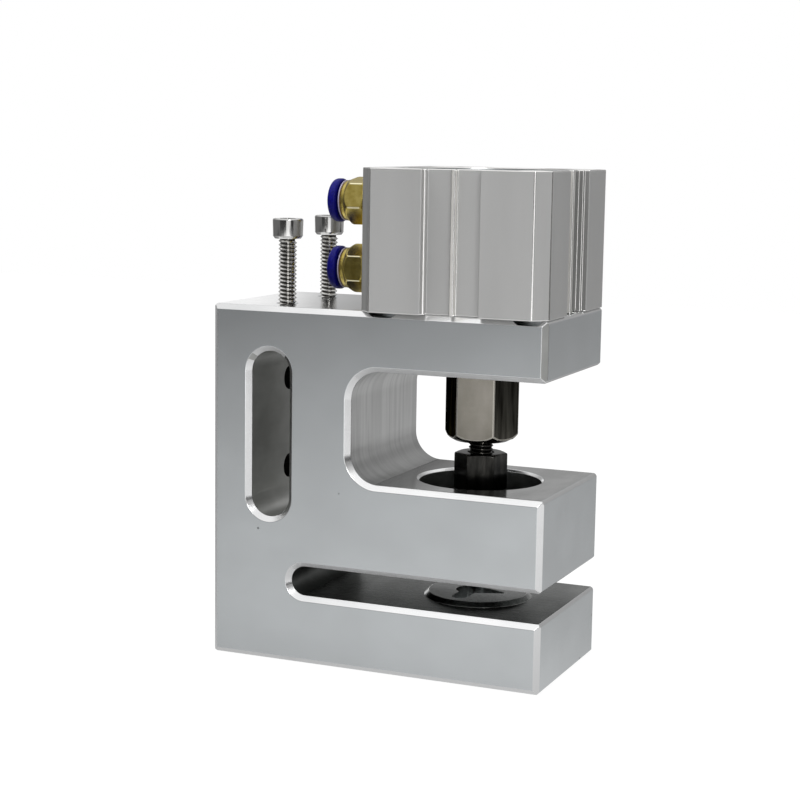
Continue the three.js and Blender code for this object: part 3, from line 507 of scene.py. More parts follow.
def bar_slot_outline(grow=0):
    radius = BAR_WIDTH / 2
    return (arc((BAR_X, BAR_HIGH - radius), radius + grow, 0, 180, 32)
            + arc((BAR_X, BAR_LOW + radius), radius + grow, 180, 360, 32))


def chamfered_prism(name, outline, half, size):
    """A prism whose two end outlines are chamfered. The chamfers take the second finish."""
    made = prism(name, outline, -half, half, milled)
    made.data.materials.append(bright_cut)
    shape = bmesh.new()
    shape.from_mesh(made.data)
    rims = [edge for edge in shape.edges if abs(edge.verts[0].co.z - edge.verts[1].co.z) < 1e-6]
    bmesh.ops.bevel(shape, geom=rims, offset=size * MM, offset_type="OFFSET", segments=1, profile=0.5,
                    affect="EDGES", material=1, clamp_overlap=False)
    shape.to_mesh(made.data)
    shape.free()
    return made


def flared_slot(name, half, size):
    """The slot's cutter: straight through the block, and widening at both faces to leave a chamfer."""
    far = half + OVERRUN
    near = half - size
    shape = bmesh.new()
    loops = []
    for z, grow in ((-far, size + OVERRUN), (-near, 0), (near, 0), (far, size + OVERRUN)):
        loops.append([shape.verts.new((x * MM, y * MM, z * MM)) for x, y in bar_slot_outline(grow)])
    count = len(loops[0])
    for band, (lower, upper) in enumerate(zip(loops, loops[1:])):
        for i in range(count):
            j = (i + 1) % count
            wall = shape.faces.new([lower[i], lower[j], upper[j], upper[i]])
            wall.material_index = 0 if band == 1 else 1
    shape.faces.new(loops[0])
    shape.faces.new(loops[-1])
    # The slot's walls take the dull finish, partly painted shade.
    return mesh_object(name, shape, [slot_wall, bright_cut])


# %% The block's body, chamfered and drilled
STAND_UP = Matrix.Rotation(math.radians(90), 4, "X")
block = chamfered_prism("block", block_outline(), HALF_THICK, FACE_CHAMFER)
cut(block, flared_slot("bar slot", HALF_THICK, FACE_CHAMFER))
for x, z, inward, upward in CORNERS:
    c = CORNER_CHAMFER
    wedge = [(x - inward * OVERRUN, z - upward * OVERRUN), (x + inward * (c + OVERRUN), z - upward * OVERRUN),
             (x - inward * OVERRUN, z + upward * (c + OVERRUN))]
    cut(block, prism("corner", wedge, -HALF_THICK - OVERRUN, HALF_THICK + OVERRUN, bright_cut))
put(block, STAND_UP)

BORE, BORE_MOUTH, LEDGE_BORE, GUIDE_FLOOR = 39.5, 0.8, 33, 35.5
DIE_HOLE, DIE_FLOOR, SLUG_HOLE, ROD_HOLE = 30.6, 8.2, 27, 26
BOLT_PITCH, BOLT_TIP, BOLT_HOLE = 48, 104, 6.6
RAM = (RAM_X, 0)
BOLT_ENDS = (-BOLT_PITCH / 2, BOLT_PITCH / 2)
BOLT_PLACES = [(RAM_X + x, y) for x in BOLT_ENDS for y in BOLT_ENDS]
mouth = BORE / 2 + BORE_MOUTH
block_cutters = [
    # The punch bore takes the dark slot-end finish: painted shade inside the bore.
    turned("punch bore", [
        (0, GUIDE_FLOOR), (BORE / 2, GUIDE_FLOOR), (BORE / 2, THROAT_FLOOR - BORE_MOUTH),
        (mouth, THROAT_FLOOR), (mouth, THROAT_FLOOR + OVERRUN), (0, THROAT_FLOOR + OVERRUN)],
        slot_end, centre=RAM),
    plug("ledge bore", LEDGE_BORE, FILM_CEILING - OVERRUN, GUIDE_FLOOR + OVERRUN, milled, RAM, FINE_STEPS),
    turned("die hole", [
        (0, -OVERRUN), (SLUG_HOLE / 2, -OVERRUN), (SLUG_HOLE / 2, DIE_FLOOR), (DIE_HOLE / 2, DIE_FLOOR),
        (DIE_HOLE / 2, FILM_FLOOR + OVERRUN), (0, FILM_FLOOR + OVERRUN)], milled, centre=RAM),
    plug("rod hole", ROD_HOLE, THROAT_CEILING - OVERRUN, BLOCK_TOP + OVERRUN, milled, RAM, FINE_STEPS),
]
for place in BOLT_PLACES:
    block_cutters.append(plug("bolt hole", BOLT_HOLE, BOLT_TIP - OVERRUN, BLOCK_TOP + OVERRUN, milled, place))
cut(block, *block_cutters)
print("block faces after the first cuts:", len(block.data.polygons))

# %% Clamp screw holes in the top, and the tapped holes in the left wall
CLAMP_PITCH, CLAMP_HOLE, CLAMP_MOUTH = 31, 6.16, 0.4
WALL_HOLE, WALL_PITCH, WALL_MOUTH = 8, 30, 0.8
BAR_MIDDLE = (BAR_LOW + BAR_HIGH) / 2
for y in (-CLAMP_PITCH / 2, CLAMP_PITCH / 2):
    narrow, wide = CLAMP_HOLE / 2, CLAMP_HOLE / 2 + CLAMP_MOUTH
    cut(block, turned("clamp hole", [
        (0, BAR_MIDDLE), (narrow, BAR_MIDDLE), (narrow, BLOCK_TOP - CLAMP_MOUTH), (wide, BLOCK_TOP),
        (wide, BLOCK_TOP + OVERRUN), (0, BLOCK_TOP + OVERRUN)], milled, SMALL_STEPS, (BAR_X, y)))
for height in (BAR_MIDDLE - WALL_PITCH / 2, BAR_MIDDLE + WALL_PITCH / 2):
    depth = BAR_X - LEFT
    narrow, wide = WALL_HOLE / 2, WALL_HOLE / 2 + WALL_MOUTH
    # The hole's finish paints it nearly black inside: painted shade.
    hole = turned("wall hole", [
        (0, -OVERRUN), (wide, -OVERRUN), (wide, 0), (narrow, WALL_MOUTH), (narrow, depth), (0, depth)],
        tapped_hole, SMALL_STEPS)
    aim = Matrix.Translation((LEFT * MM, 0, height * MM)) @ Matrix.Rotation(math.radians(90), 4, "Y")
    cut(block, put(hole, aim))
finish_edges(block, 0.16)
print("block faces with all holes and edges:", len(block.data.polygons))

# %% [markdown]
# Each stretch of the block is cut another way: slot walls are dull, the wall of the throat is rubbed, and
# level faces are polished. Each stretch could be a piece of its own, but a face's place and direction
# already tell which cutter made it, so faces take their finish by those. Inside the slots and the bore, and
# on the upper arm's right corner, the darker finishes are painted shade as well.

# %% Finishes face by face
INSIDE = HALF_THICK - FACE_CHAMFER + 0.1


def repaint(made, old, new, chosen):
    """Faces of one finish whose centre and normal are chosen take another finish."""
    names = [finish.name for finish in made.data.materials]
    if new.name not in names:
        made.data.materials.append(new)
        names.append(new.name)
    count = 0
    for face in made.data.polygons:
        if made.data.materials[face.material_index] is old and chosen(face.center / MM, face.normal):
            face.material_index = names.index(new.name)
            count += 1
    return count


def in_film_slot(place):
    return (place.x > SLOT_LEFT - 0.2 and FILM_FLOOR - 0.2 < place.z < FILM_CEILING + 0.2
            and abs(place.y) < INSIDE)


def in_throat(place):
    return (place.x > THROAT_LEFT - 0.2 and THROAT_FLOOR - 0.2 < place.z < THROAT_CEILING + 0.2
            and abs(place.y) < INSIDE)


def level(normal):
    return abs(normal.z) > 0.99


def on_throat_wall(place, normal):
    return in_throat(place) and abs(normal.y) < 0.1 and place.x < RIGHT - 5


def on_bore_mouth(place, normal):
    return 0.5 < normal.z < 0.9 and place.z > THROAT_FLOOR - 1


# Painted shade: the upper arm's right corner chamfers take the dark slot-wall finish instead of the bright
# one.
def on_upper_arm_corner(place, normal):
    return normal.x > 0.15 and normal.y < -0.3 and place.z > THROAT_CEILING + 1.2


painted = [
    # The film slot's faces take the dark slot finishes: painted shade.
    repaint(block, milled, slot_floor, lambda place, normal: in_film_slot(place) and level(normal)),
    repaint(block, milled, slot_end, lambda place, normal: in_film_slot(place)),
    repaint(block, milled, throat_floor, lambda place, normal: in_throat(place) and level(normal)),
    repaint(block, milled, polished, lambda place, normal: level(normal)),
    repaint(block, milled, throat_wall, on_throat_wall),
    repaint(block, slot_end, bright_cut, on_bore_mouth),
    repaint(block, bright_cut, upper_cut, lambda place, normal: normal.z > 0.3 and normal.y < -0.3),
    repaint(block, bright_cut, lower_cut, lambda place, normal: normal.z < -0.5 and normal.y < -0.3),
    repaint(block, bright_cut, lower_cut, lambda place, normal: normal.x < -0.5 and place.x < LEFT + 2),
    repaint(block, bright_cut, slot_wall, on_upper_arm_corner),
]
print("faces repainted:", painted)
stand_for(block, "frame", "machine")
print("block faces:", len(block.data.polygons))

# %% [markdown]
# ## The air cylinder
# The cylinder's body is an aluminium extrusion: one outline, sawn to length. Three of its faces have a
# shallow recess for sensors, with a step in each wall and a thin rib along the floor. The fourth face has
# the ports.

# %% Cylinder body
CYLINDER_BOTTOM, CYLINDER_TOP = heights("cylinder_body")
CYLINDER_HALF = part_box("cylinder_body")[1][1] / MM
CORNER_CUT = 4.2
RECESS_HALF, RECESS_DEPTH, STEP_DEPTH, STEP_WIDTH = 9.5, 3.6, 1.8, 0.6
RIB_HALF, RIB_HEIGHT = 0.75, 1.7
CYLINDER_BORE, GROOVE = 50, 52
COUNTERBORE, COUNTERBORE_DEPTH = 11, 7
RING_INSET, GROOVE_WIDTH = 1.1, 1.55
PORT, PORT_DEPTH, PORT_INSET = 13.6, 4.4, 11.3
PORT_HEIGHTS = [CYLINDER_BOTTOM + PORT_INSET, CYLINDER_TOP - PORT_INSET]


def cylinder_face(recessed):
    """One face of the outline, from corner cut to corner cut, as (across, outwards) pairs."""
    edge = CYLINDER_HALF - CORNER_CUT
    floor = CYLINDER_HALF - RECESS_DEPTH
    step = CYLINDER_HALF - STEP_DEPTH
    if not recessed:
        return [(-edge, CYLINDER_HALF), (edge, CYLINDER_HALF)]
    left = [(-edge, CYLINDER_HALF), (-RECESS_HALF, CYLINDER_HALF), (-RECESS_HALF, step),
            (-RECESS_HALF + STEP_WIDTH, step), (-RECESS_HALF + STEP_WIDTH, floor)]
    crest = floor + RIB_HEIGHT
    rib = [(-RIB_HALF, floor), (-RIB_HALF, crest), (RIB_HALF, crest), (RIB_HALF, floor)]
    return left + rib + [(-across, out) for across, out in reversed(left)]


def cylinder_outline():
    outline = []
    for degrees, recessed in ((0, True), (90, True), (180, False), (270, True)):
        c, s = math.cos(math.radians(degrees)), math.sin(math.radians(degrees))
        outline += [(out * c - across * s, out * s + across * c) for across, out in cylinder_face(recessed)]
    return outline


body = prism("cylinder body", cylinder_outline(), CYLINDER_BOTTOM, CYLINDER_TOP, anodised, RAM)
lower_ring, upper_ring = CYLINDER_BOTTOM + RING_INSET, CYLINDER_TOP - RING_INSET
cylinder_cutters = [
    plug("bore", CYLINDER_BORE, CYLINDER_BOTTOM - OVERRUN, CYLINDER_TOP + OVERRUN, milled, RAM, FINE_STEPS),
    plug("lower groove", GROOVE, lower_ring, lower_ring + GROOVE_WIDTH, milled, RAM, FINE_STEPS),
    plug("upper groove", GROOVE, upper_ring - GROOVE_WIDTH, upper_ring, milled, RAM, FINE_STEPS),
]
low, high = CYLINDER_BOTTOM + COUNTERBORE_DEPTH, CYLINDER_TOP - COUNTERBORE_DEPTH
wide, narrow = COUNTERBORE / 2, BOLT_HOLE / 2
for place in BOLT_PLACES:
    cylinder_cutters.append(turned("bolt hole", [
        (0, CYLINDER_BOTTOM - OVERRUN), (wide, CYLINDER_BOTTOM - OVERRUN), (wide, low), (narrow, low),
        (narrow, high), (wide, high), (wide, CYLINDER_TOP + OVERRUN), (0, CYLINDER_TOP + OVERRUN)],
        milled, SMALL_STEPS, place))
POINT_LEFT = Matrix.Rotation(math.radians(-90), 4, "Y")
for height in PORT_HEIGHTS:
    port = plug("port", PORT, CYLINDER_HALF - PORT_DEPTH, CYLINDER_HALF + OVERRUN, milled)
    cylinder_cutters.append(put(port, Matrix.Translation((RAM_X * MM, 0, height * MM)) @ POINT_LEFT))
cut(body, *cylinder_cutters)
# The bevelled edges take the bright edge finish: worn, and a painted highlight.
finish_edges(body, 0.34, 3, edge_finish=worn_edge_and_highlight)
print("cylinder faces after the cuts:", len(body.data.polygons))

# %% The cylinder's finishes, face by face
RECESS_FLOOR = CYLINDER_HALF - RECESS_DEPTH
RIGHT_FACE = RAM_X + 27


def lies(place):
    """How far out from the cylinder's axis a place is, and how far across its face."""
    x, y = abs(place.x - RAM_X), abs(place.y)
    return max(x, y), min(x, y)


def on_rib(place, normal):
    out, across = lies(place)
    return across < RIB_HALF + 0.1 and RECESS_FLOOR - 0.2 < out < CYLINDER_HALF - 1


def on_outer_edge(place, normal):
    out, across = lies(place)
    return out > CYLINDER_HALF - 0.5 and abs(across - RECESS_HALF) < 0.5 and abs(normal.z) < 0.1


def in_front_floor_corner(place, normal):
    out, across = lies(place)
    return place.y < 0 and across > 8 and out < RECESS_FLOOR + 0.5 and abs(normal.z) < 0.1


def on_side_recess_wall(place, normal):
    return place.x > RIGHT_FACE and lies(place)[1] < RECESS_HALF + 0.1 and normal.y < -0.9


def on_side_recess_floor(place, normal):
    return place.x > RIGHT_FACE and lies(place)[0] < RECESS_FLOOR + 0.2 and normal.x > 0.9


touched = [
    # The rib's pale colour: rubbed, and a painted highlight.
    repaint(body, anodised, rubbed_rib_and_highlight, on_rib),
    # The bright edge, a painted highlight, is taken back off the outer recess edges and the front floor
    # corners.
    repaint(body, worn_edge_and_highlight, anodised, on_outer_edge),
    repaint(body, worn_edge_and_highlight, anodised, in_front_floor_corner),
    # Painted shade on the side recess walls and floor, and on the left front corner cut.
    repaint(body, anodised, painted_shade_anodised, on_side_recess_wall),
    repaint(body, anodised, painted_shade_anodised, on_side_recess_floor),
    repaint(body, anodised, painted_shade_anodised, lambda place, normal: normal.x < -0.6 and normal.y < -0.6),
]
print("cylinder faces repainted:", touched)
stand_for(body, "cylinder_body", "machine")
print("cylinder body faces:", len(body.data.polygons))

# %% [markdown]
# ## Threads
# A screw thread is a ridge that follows a helix, so Geometry Nodes make it: a spiral curve, and a
# four-sided profile swept along it. Its sizes are named inputs, so one tree serves the clamp screws, the
# stud and the brass fittings. The sweep is closed at both ends and sinks into the shank that it winds
# round.


# %% Thread tree
def thread_tree():
    tree = bpy.data.node_groups.new("screw thread", "GeometryNodeTree")
    tree.interface.new_socket("Geometry", in_out="OUTPUT", socket_type="NodeSocketGeometry")
    for name, value in (("Radius", 0.0025), ("Pitch", 0.001), ("Length", 0.02), ("Ridge", 0.0005)):
        socket = tree.interface.new_socket(name, in_out="INPUT", socket_type="NodeSocketFloat")
        socket.default_value = value
    tree.interface.new_socket("Material", in_out="INPUT", socket_type="NodeSocketMaterial")
    given, result, turns, spiral, upright, profile, sweep, real, paint = [tree.nodes.new(kind) for kind in (
        "NodeGroupInput", "NodeGroupOutput", "ShaderNodeMath", "GeometryNodeCurveSpiral",
        "GeometryNodeSetCurveNormal", "GeometryNodeCurvePrimitiveCircle", "GeometryNodeCurveToMesh",
        "GeometryNodeRealizeInstances", "GeometryNodeSetMaterial")]
    turns.operation = "DIVIDE"
    spiral.inputs["Resolution"].default_value = 28
    upright.mode = "Z_UP"
    profile.inputs["Resolution"].default_value = 4
    sweep.inputs["Fill Caps"].default_value = True
    for source, output, target, socket in (
            (given, "Length", turns, 0), (given, "Pitch", turns, 1), (turns, 0, spiral, "Rotations"),
            (given, "Radius", spiral, "Start Radius"), (given, "Radius", spiral, "End Radius"),
            (given, "Length", spiral, "Height"), (given, "Ridge", profile, "Radius"),
            (spiral, "Curve", upright, "Curve"), (upright, "Curve", sweep, "Curve"),
            (profile, "Curve", sweep, "Profile Curve"), (sweep, "Mesh", real, "Geometry"),
            (real, "Geometry", paint, "Geometry"), (given, "Material", paint, "Material"),
            (paint, "Geometry", result, "Geometry")):
        tree.links.new(source.outputs[output], target.inputs[socket])
    return tree


THREAD = thread_tree()
print("nodes in the thread tree:", len(THREAD.nodes))


def thread(outer, pitch, length, finish, fullness=0.5):
    """A helical ridge that starts at the origin and climbs Z, in millimetres. Less fullness leaves a gap."""
    ridge = pitch * fullness
    made = bpy.data.objects.new("thread", bpy.data.meshes.new("thread"))
    bpy.context.scene.collection.objects.link(made)
    modifier = made.modifiers.new("thread", "NODES")
    modifier.node_group = THREAD
    values = {"Radius": (outer / 2 - ridge) * MM, "Pitch": pitch * MM, "Length": length * MM,
              "Ridge": ridge * MM, "Material": finish}
    for item in THREAD.interface.items_tree:
        if item.in_out == "INPUT":
            modifier[item.identifier] = values[item.name]
    return apply_modifiers(made)


def join(first, *others):
    """Puts several meshes into the first one's object."""
    shape = bmesh.new()
    finishes = list(first.data.materials)
    for made in (first, *others):
        places = [finishes.index(m) if m in finishes else len(finishes) for m in made.data.materials]
        finishes += [m for m in made.data.materials if m not in finishes]
        start = len(shape.faces)
        shape.from_mesh(made.data)
        shape.faces.ensure_lookup_table()
        for face in shape.faces[start:]:
            face.material_index = places[face.material_index] if places else 0
    mesh = bpy.data.meshes.new(first.name)
    shape.to_mesh(mesh)
    shape.free()
    for finish in finishes:
        mesh.materials.append(finish)
    first.data = mesh
    for made in others:
        bpy.data.objects.remove(made)
    return first


# %% [markdown]
# ## Screws
# The two clamp screws are socket head cap screws of stainless steel, threaded over their whole length. The
# four that hold the cylinder down are the same kind, and only their heads show, deep in the counterbores.

# %% Cap screws
SCREW, SCREW_HEAD, SCREW_SOCKET, SCREW_PITCH = 6, 10, 5, 1.27
HEAD_RIM, RIM_ROUNDING, HEAD_TAPER = 0.55, 0.16, 0.15
FOOT_WIDTH, FOOT_HEIGHT = 0.8, 0.9
TIP_CHAMFER, THREAD_START, THREAD_FULLNESS = 0.6, 0.7, 0.37


def cap_screw(node, head_height, socket_depth):
    """A cap screw in a CAD node's place: a rounded head with a hexagon socket over a threaded shank."""
    low, high = heights(node)
    seat = high - head_height
    outer = SCREW_HEAD / 2
    head = turned("head", [
        (0, seat), (outer - FOOT_WIDTH, seat), (outer - HEAD_TAPER, seat + FOOT_HEIGHT),
        (outer, high - HEAD_RIM), (outer - RIM_ROUNDING, high - RIM_ROUNDING), (outer - HEAD_RIM, high),
        (0, high)],
        bright_steel, SMALL_STEPS)
    cut(head, prism("socket", hexagon(SCREW_SOCKET), high - socket_depth, high + OVERRUN, bright_steel))
    finish_edges(head, 0.08)
    core = SCREW / 2 - SCREW_PITCH / 2
    # The shank under the thread is painted near black: painted shade in the thread's gaps.
    shank = turned("shank", [(0, low), (core - 0.5, low), (core, low + TIP_CHAMFER), (core, seat + 0.1),
                             (0, seat + 0.1)], thread_root_shade, SMALL_STEPS)
    finish_edges(shank, 0.05)
    ridge = thread(SCREW, SCREW_PITCH, seat - low - THREAD_START - 0.5, thread_steel, THREAD_FULLNESS)
    put(ridge, Matrix.Translation((0, 0, (low + THREAD_START) * MM)))
    ridge.data.polygons.foreach_set("use_smooth", [False] * len(ridge.data.polygons))
    x, y = middle(node)
    return put(join(head, shank, ridge), Matrix.Translation((x * MM, y * MM, 0)))


for side in ("front", "back"):
    node = "clamp_screw_" + side
    stand_for(cap_screw(node, head_height=6.5, socket_depth=3), node, side + "_clamp")
for place in ("front_left", "front_right", "back_left", "back_right"):
    node = "mounting_bolt_" + place
    stand_for(cap_screw(node, head_height=6, socket_depth=3), node, "machine")
print("screws made")

# %% [markdown]
# ## The ram's lower end
# The coupling and the nut are cut from hexagon bar and turned at their ends, so each flat ends in an arc.
# That arc appears by itself when the hexagon prism is intersected with a turned shape.


# %% Hexagon pieces
END_ROUNDNESS = 0.42


def hex_piece(name, flats, turn, low, high, end_cut, end_width, finish):
    """Hexagon bar between two heights, its ends turned down over end_cut to end_width."""
    bar = prism(name, hexagon(flats, turn), low, high, finish, RAM)
    widest = flats / math.sqrt(3) + 0.3
    end = end_width / 2
    between = (end + widest) / 2 + 0.35
    envelope = turned("envelope", [
        (0, low), (end, low), (between, low + end_cut * END_ROUNDNESS), (widest, low + end_cut),
        (widest, high - end_cut), (between, high - end_cut * END_ROUNDNESS), (end, high), (0, high)],
        finish, centre=RAM)
    return combine(bar, envelope, "INTERSECT")


STUD_HOLE, NOSE_HOLE, HOLE_DEPTH = 8.6, 10.6, 9.3

coupling_low, coupling_high = heights("rod_coupling")
coupling = hex_piece("coupling", flats=21, turn=9, low=coupling_low, high=coupling_high,
                     end_cut=2.8, end_width=17.6, finish=ground_steel)
cut(coupling,
    plug("stud hole", STUD_HOLE, coupling_low - OVERRUN, coupling_low + HOLE_DEPTH, ground_steel, RAM),
    plug("rod hole", NOSE_HOLE, coupling_high - HOLE_DEPTH, coupling_high + OVERRUN, ground_steel, RAM))
finish_edges(coupling, 0.42, 3, edge_finish=rubbed_steel)
# The coupling's flats that face left and right are much darker than the others.
repaint(coupling, ground_steel, side_flat_steel, lambda place, normal: abs(normal.x) > 0.6)
stand_for(coupling, "rod_coupling", "ram")

nut_low, nut_high = heights("punch_nut")
SPIGOT_DEPTH = 3.3
nut = hex_piece("nut", flats=15, turn=20, low=nut_low, high=nut_high,
                end_cut=0.9, end_width=14.2, finish=black_oxide)
cut(nut, plug("stud hole", STUD_HOLE, nut_high - HOLE_DEPTH, nut_high + OVERRUN, black_oxide, RAM),
    plug("spigot hole", STUD_HOLE, nut_low - OVERRUN, nut_low + SPIGOT_DEPTH, black_oxide, RAM))
finish_edges(nut, 0.3, 3)
stand_for(nut, "punch_nut", "ram")

# %% Stud and piston rod
STUD, STUD_PITCH, STUD_CORE, STUD_TIP, STUD_CHAMFER = 8, 1.25, 3.375, 2.8, 0.6
stud_low, stud_high = heights("punch_stud")
stud = turned("stud", [(0, stud_low), (STUD_TIP, stud_low), (STUD_CORE, stud_low + STUD_CHAMFER),
                       (STUD_CORE, stud_high - STUD_CHAMFER), (STUD_TIP, stud_high), (0, stud_high)],
              black_oxide, SMALL_STEPS)
ridge = thread(STUD, STUD_PITCH, stud_high - stud_low - 2 * STUD_PITCH, black_oxide)
put(ridge, Matrix.Translation((0, 0, (stud_low + 1.2) * MM)))
stand_for(put(join(stud, ridge), Matrix.Translation((RAM_X * MM, 0, 0))), "punch_stud", "ram")

ROD, NOSE, PISTON_SCREW_HOLE, PISTON_SCREW_DEPTH = 20, 10, 8.6, 6.5
rod_low, rod_high = heights("piston_rod")
hole_end = rod_high - PISTON_SCREW_DEPTH
rod = turned("rod", [
    (0, rod_low), (NOSE / 2 - 1, rod_low), (NOSE / 2, rod_low + 1), (NOSE / 2, coupling_high),
    (ROD / 2, coupling_high), (ROD / 2, rod_high), (PISTON_SCREW_HOLE / 2, rod_high),
    (PISTON_SCREW_HOLE / 2, hole_end), (0, hole_end)], ground_steel, centre=RAM)
finish_edges(rod, 0.15)
stand_for(rod, "piston_rod", "ram")
print("ram pieces made")

# %% [markdown]
# ## Punch, guide and die
# The hole that this machine punches is the one that goods hang by on a hook: two wings, and a lobe between
# them. The punch, the guide plate and the die share that one outline, which grows by a clearance for the
# last two.

# %% Winged outline
WING_REACH, WING_HALF, WING_OFFSET = 10.2, 2.6, -2.4
LOBE_TIP, LOBE_TIP_RADIUS, LOBE_RADIUS = 8.2, 0.9, 4.9


def winged_cutter(name, grow, low, high, finish):
    """The winged outline, grown all round and raised between two heights."""
    wing = WING_HALF + grow
    bar = arc((WING_OFFSET, WING_REACH), wing, 0, 180) + arc((WING_OFFSET, -WING_REACH), wing, 180, 360)
    lean = math.degrees(math.acos((LOBE_RADIUS - LOBE_TIP_RADIUS) / (LOBE_TIP - WING_OFFSET)))
    lobe = arc((LOBE_TIP, 0), LOBE_TIP_RADIUS + grow, -lean, lean, 16)
    lobe += arc((WING_OFFSET, 0), LOBE_RADIUS + grow, lean, 360 - lean, 32)
    made = prism(name, bar, low, high, finish, RAM)
    return combine(made, prism("lobe", lobe, low, high, finish, RAM), "UNION")


# %% Punch, guide plate and die
punch_low = heights("punch")[0]
punch = winged_cutter("punch", 0, punch_low, nut_low, black_oxide)
combine(punch, plug("spigot", 8, nut_low - 1, nut_low + 3, black_oxide, RAM), "UNION")
finish_edges(punch, 0.06)
stand_for(punch, "punch", "ram")

GUIDE_CHAMFER, GUIDE_CLEARANCE, DIE_CLEARANCE = 0.6, 0.08, 0.05
guide_low, guide_high = heights("punch_guide")
rim = BORE / 2 - 0.3
guide = turned("guide", [(0, guide_low), (rim, guide_low), (rim, guide_high - GUIDE_CHAMFER),
                         (rim - GUIDE_CHAMFER, guide_high), (0, guide_high)], black_oxide, centre=RAM)
cut(guide, winged_cutter("guide hole", GUIDE_CLEARANCE, guide_low - OVERRUN, guide_high + OVERRUN,
                         black_oxide))
finish_edges(guide, 0.12)
stand_for(guide, "punch_guide", "machine")

DIE_TOP, DIE_RIM, DIE_FLAT, DIE_SPIGOT, DIE_LAND = FILM_FLOOR + 1.4, 35.2, 32.2, 30, 5
die_low = heights("die_insert")[0]
die = turned("die", [(0, die_low), (DIE_SPIGOT / 2, die_low), (DIE_SPIGOT / 2, FILM_FLOOR),
                     (DIE_RIM / 2, FILM_FLOOR), (DIE_FLAT / 2, DIE_TOP), (0, DIE_TOP)], die_steel, centre=RAM)
cut(die, plug("relief", SLUG_HOLE, die_low - OVERRUN, DIE_TOP - DIE_LAND, die_steel, RAM, FINE_STEPS),
    winged_cutter("die hole", DIE_CLEARANCE, die_low - OVERRUN, DIE_TOP + OVERRUN, die_steel))
# The die's edges take the bright edge finish: a painted highlight.
finish_edges(die, 0.14, 3, edge_finish=worn_edge_and_highlight)
stand_for(die, "die_insert", "machine")
print("punch set made")

# %% [markdown]
# ## Push-in fittings
# A brass body is screwed into each port. Its hexagon is turned down towards the mouth. A grey ring closes
# the mouth, and a blue collar slides in it to let go of the tube.

# %% Fittings
THREAD_SHOWING, HEX_LENGTH, HEX_TAPER, SHOULDER = 9, 7.1, 2.3, 1.6
HEX_FLATS, FITTING_THREAD, FITTING_PITCH, NECK = 14, 13, 1.34, 11.9
AIR_HOLE, TUBE_HOLE, TUBE_DEPTH, MOUTH_HOLE, MOUTH_DEPTH = 6, 8.2, 14, 11.8, 9.4
HEX_END = THREAD_SHOWING + HEX_LENGTH
MOUTH = HEX_END + SHOULDER
RING_RIM, COLLAR_TRAVEL = 0.3, 0.7
COLLAR_START = MOUTH + RING_RIM + COLLAR_TRAVEL + 0.1
COLLAR_END = COLLAR_START + 3.3


def fitting_body(turn):
    corner = HEX_FLATS / math.sqrt(3)
    radius = HEX_FLATS / 2
    bar = prism("fitting", hexagon(HEX_FLATS, turn), THREAD_SHOWING, HEX_END, turned_brass)
    shoulder = plug("shoulder", HEX_FLATS - 0.4, HEX_END - 0.5, MOUTH + OVERRUN, turned_brass,
                    steps=FINE_STEPS)
    combine(bar, shoulder, "UNION")
    envelope = turned("envelope", [
        (0, THREAD_SHOWING), (corner - 0.6, THREAD_SHOWING), (corner + 0.3, THREAD_SHOWING + 0.9),
        (corner + 0.3, HEX_END - HEX_TAPER - 0.3), (corner - 0.3, HEX_END - HEX_TAPER * 0.6),
        (radius - 0.3, HEX_END - 0.1), (radius - 0.35, MOUTH - 0.7), (radius - 0.95, MOUTH), (0, MOUTH)],
        turned_brass)
    combine(bar, envelope, "INTERSECT")
    combine(bar, plug("neck", NECK, -PORT_DEPTH + 0.3, THREAD_SHOWING + 0.3, turned_brass), "UNION")
    cut(bar, plug("air hole", AIR_HOLE, -PORT_DEPTH - OVERRUN, MOUTH, turned_brass),
        plug("tube hole", TUBE_HOLE, MOUTH - TUBE_DEPTH, MOUTH + OVERRUN, turned_brass),
        plug("mouth", MOUTH_HOLE, MOUTH - MOUTH_DEPTH, MOUTH + OVERRUN, turned_brass))
    # The pale brass edge is a painted highlight as well as rubbed, kept only on the hexagon.
    finish_edges(bar, 0.32, 3, edge_finish=brass_edge_and_highlight)
    repaint(bar, brass_edge_and_highlight, turned_brass,
            lambda place, normal: not THREAD_SHOWING + 1 < place.z < HEX_END - HEX_TAPER + 0.4)
    ridge = thread(FITTING_THREAD, FITTING_PITCH, THREAD_SHOWING + PORT_DEPTH - 1.9, turned_brass)
    put(ridge, Matrix.Translation((0, 0, (1 - PORT_DEPTH) * MM)))
    return join(bar, ridge)


RING_INSIDE, RING_SLEEVE, RING_OUTSIDE, RING_LENGTH = 5.2, 5.82, 6.6, 2.2


def fitting_ring():
    ring = turned("ring", [(RING_INSIDE, MOUTH - RING_LENGTH), (RING_SLEEVE, MOUTH - RING_LENGTH),
                           (RING_SLEEVE, MOUTH), (RING_OUTSIDE, MOUTH), (RING_OUTSIDE, MOUTH + RING_RIM),
                           (RING_INSIDE, MOUTH + RING_RIM)], grey_plastic, SMALL_STEPS)
    return finish_edges(ring, 0.06)


COLLAR_RADIUS, COLLAR_INSIDE, SLEEVE_RADIUS, SLEEVE_LENGTH = 7.1, 4.1, 5.12, 5.8
COLLAR_ROUND, COLLAR_LIP, COLLAR_FOOT = 1.6, 0.5, 0.5


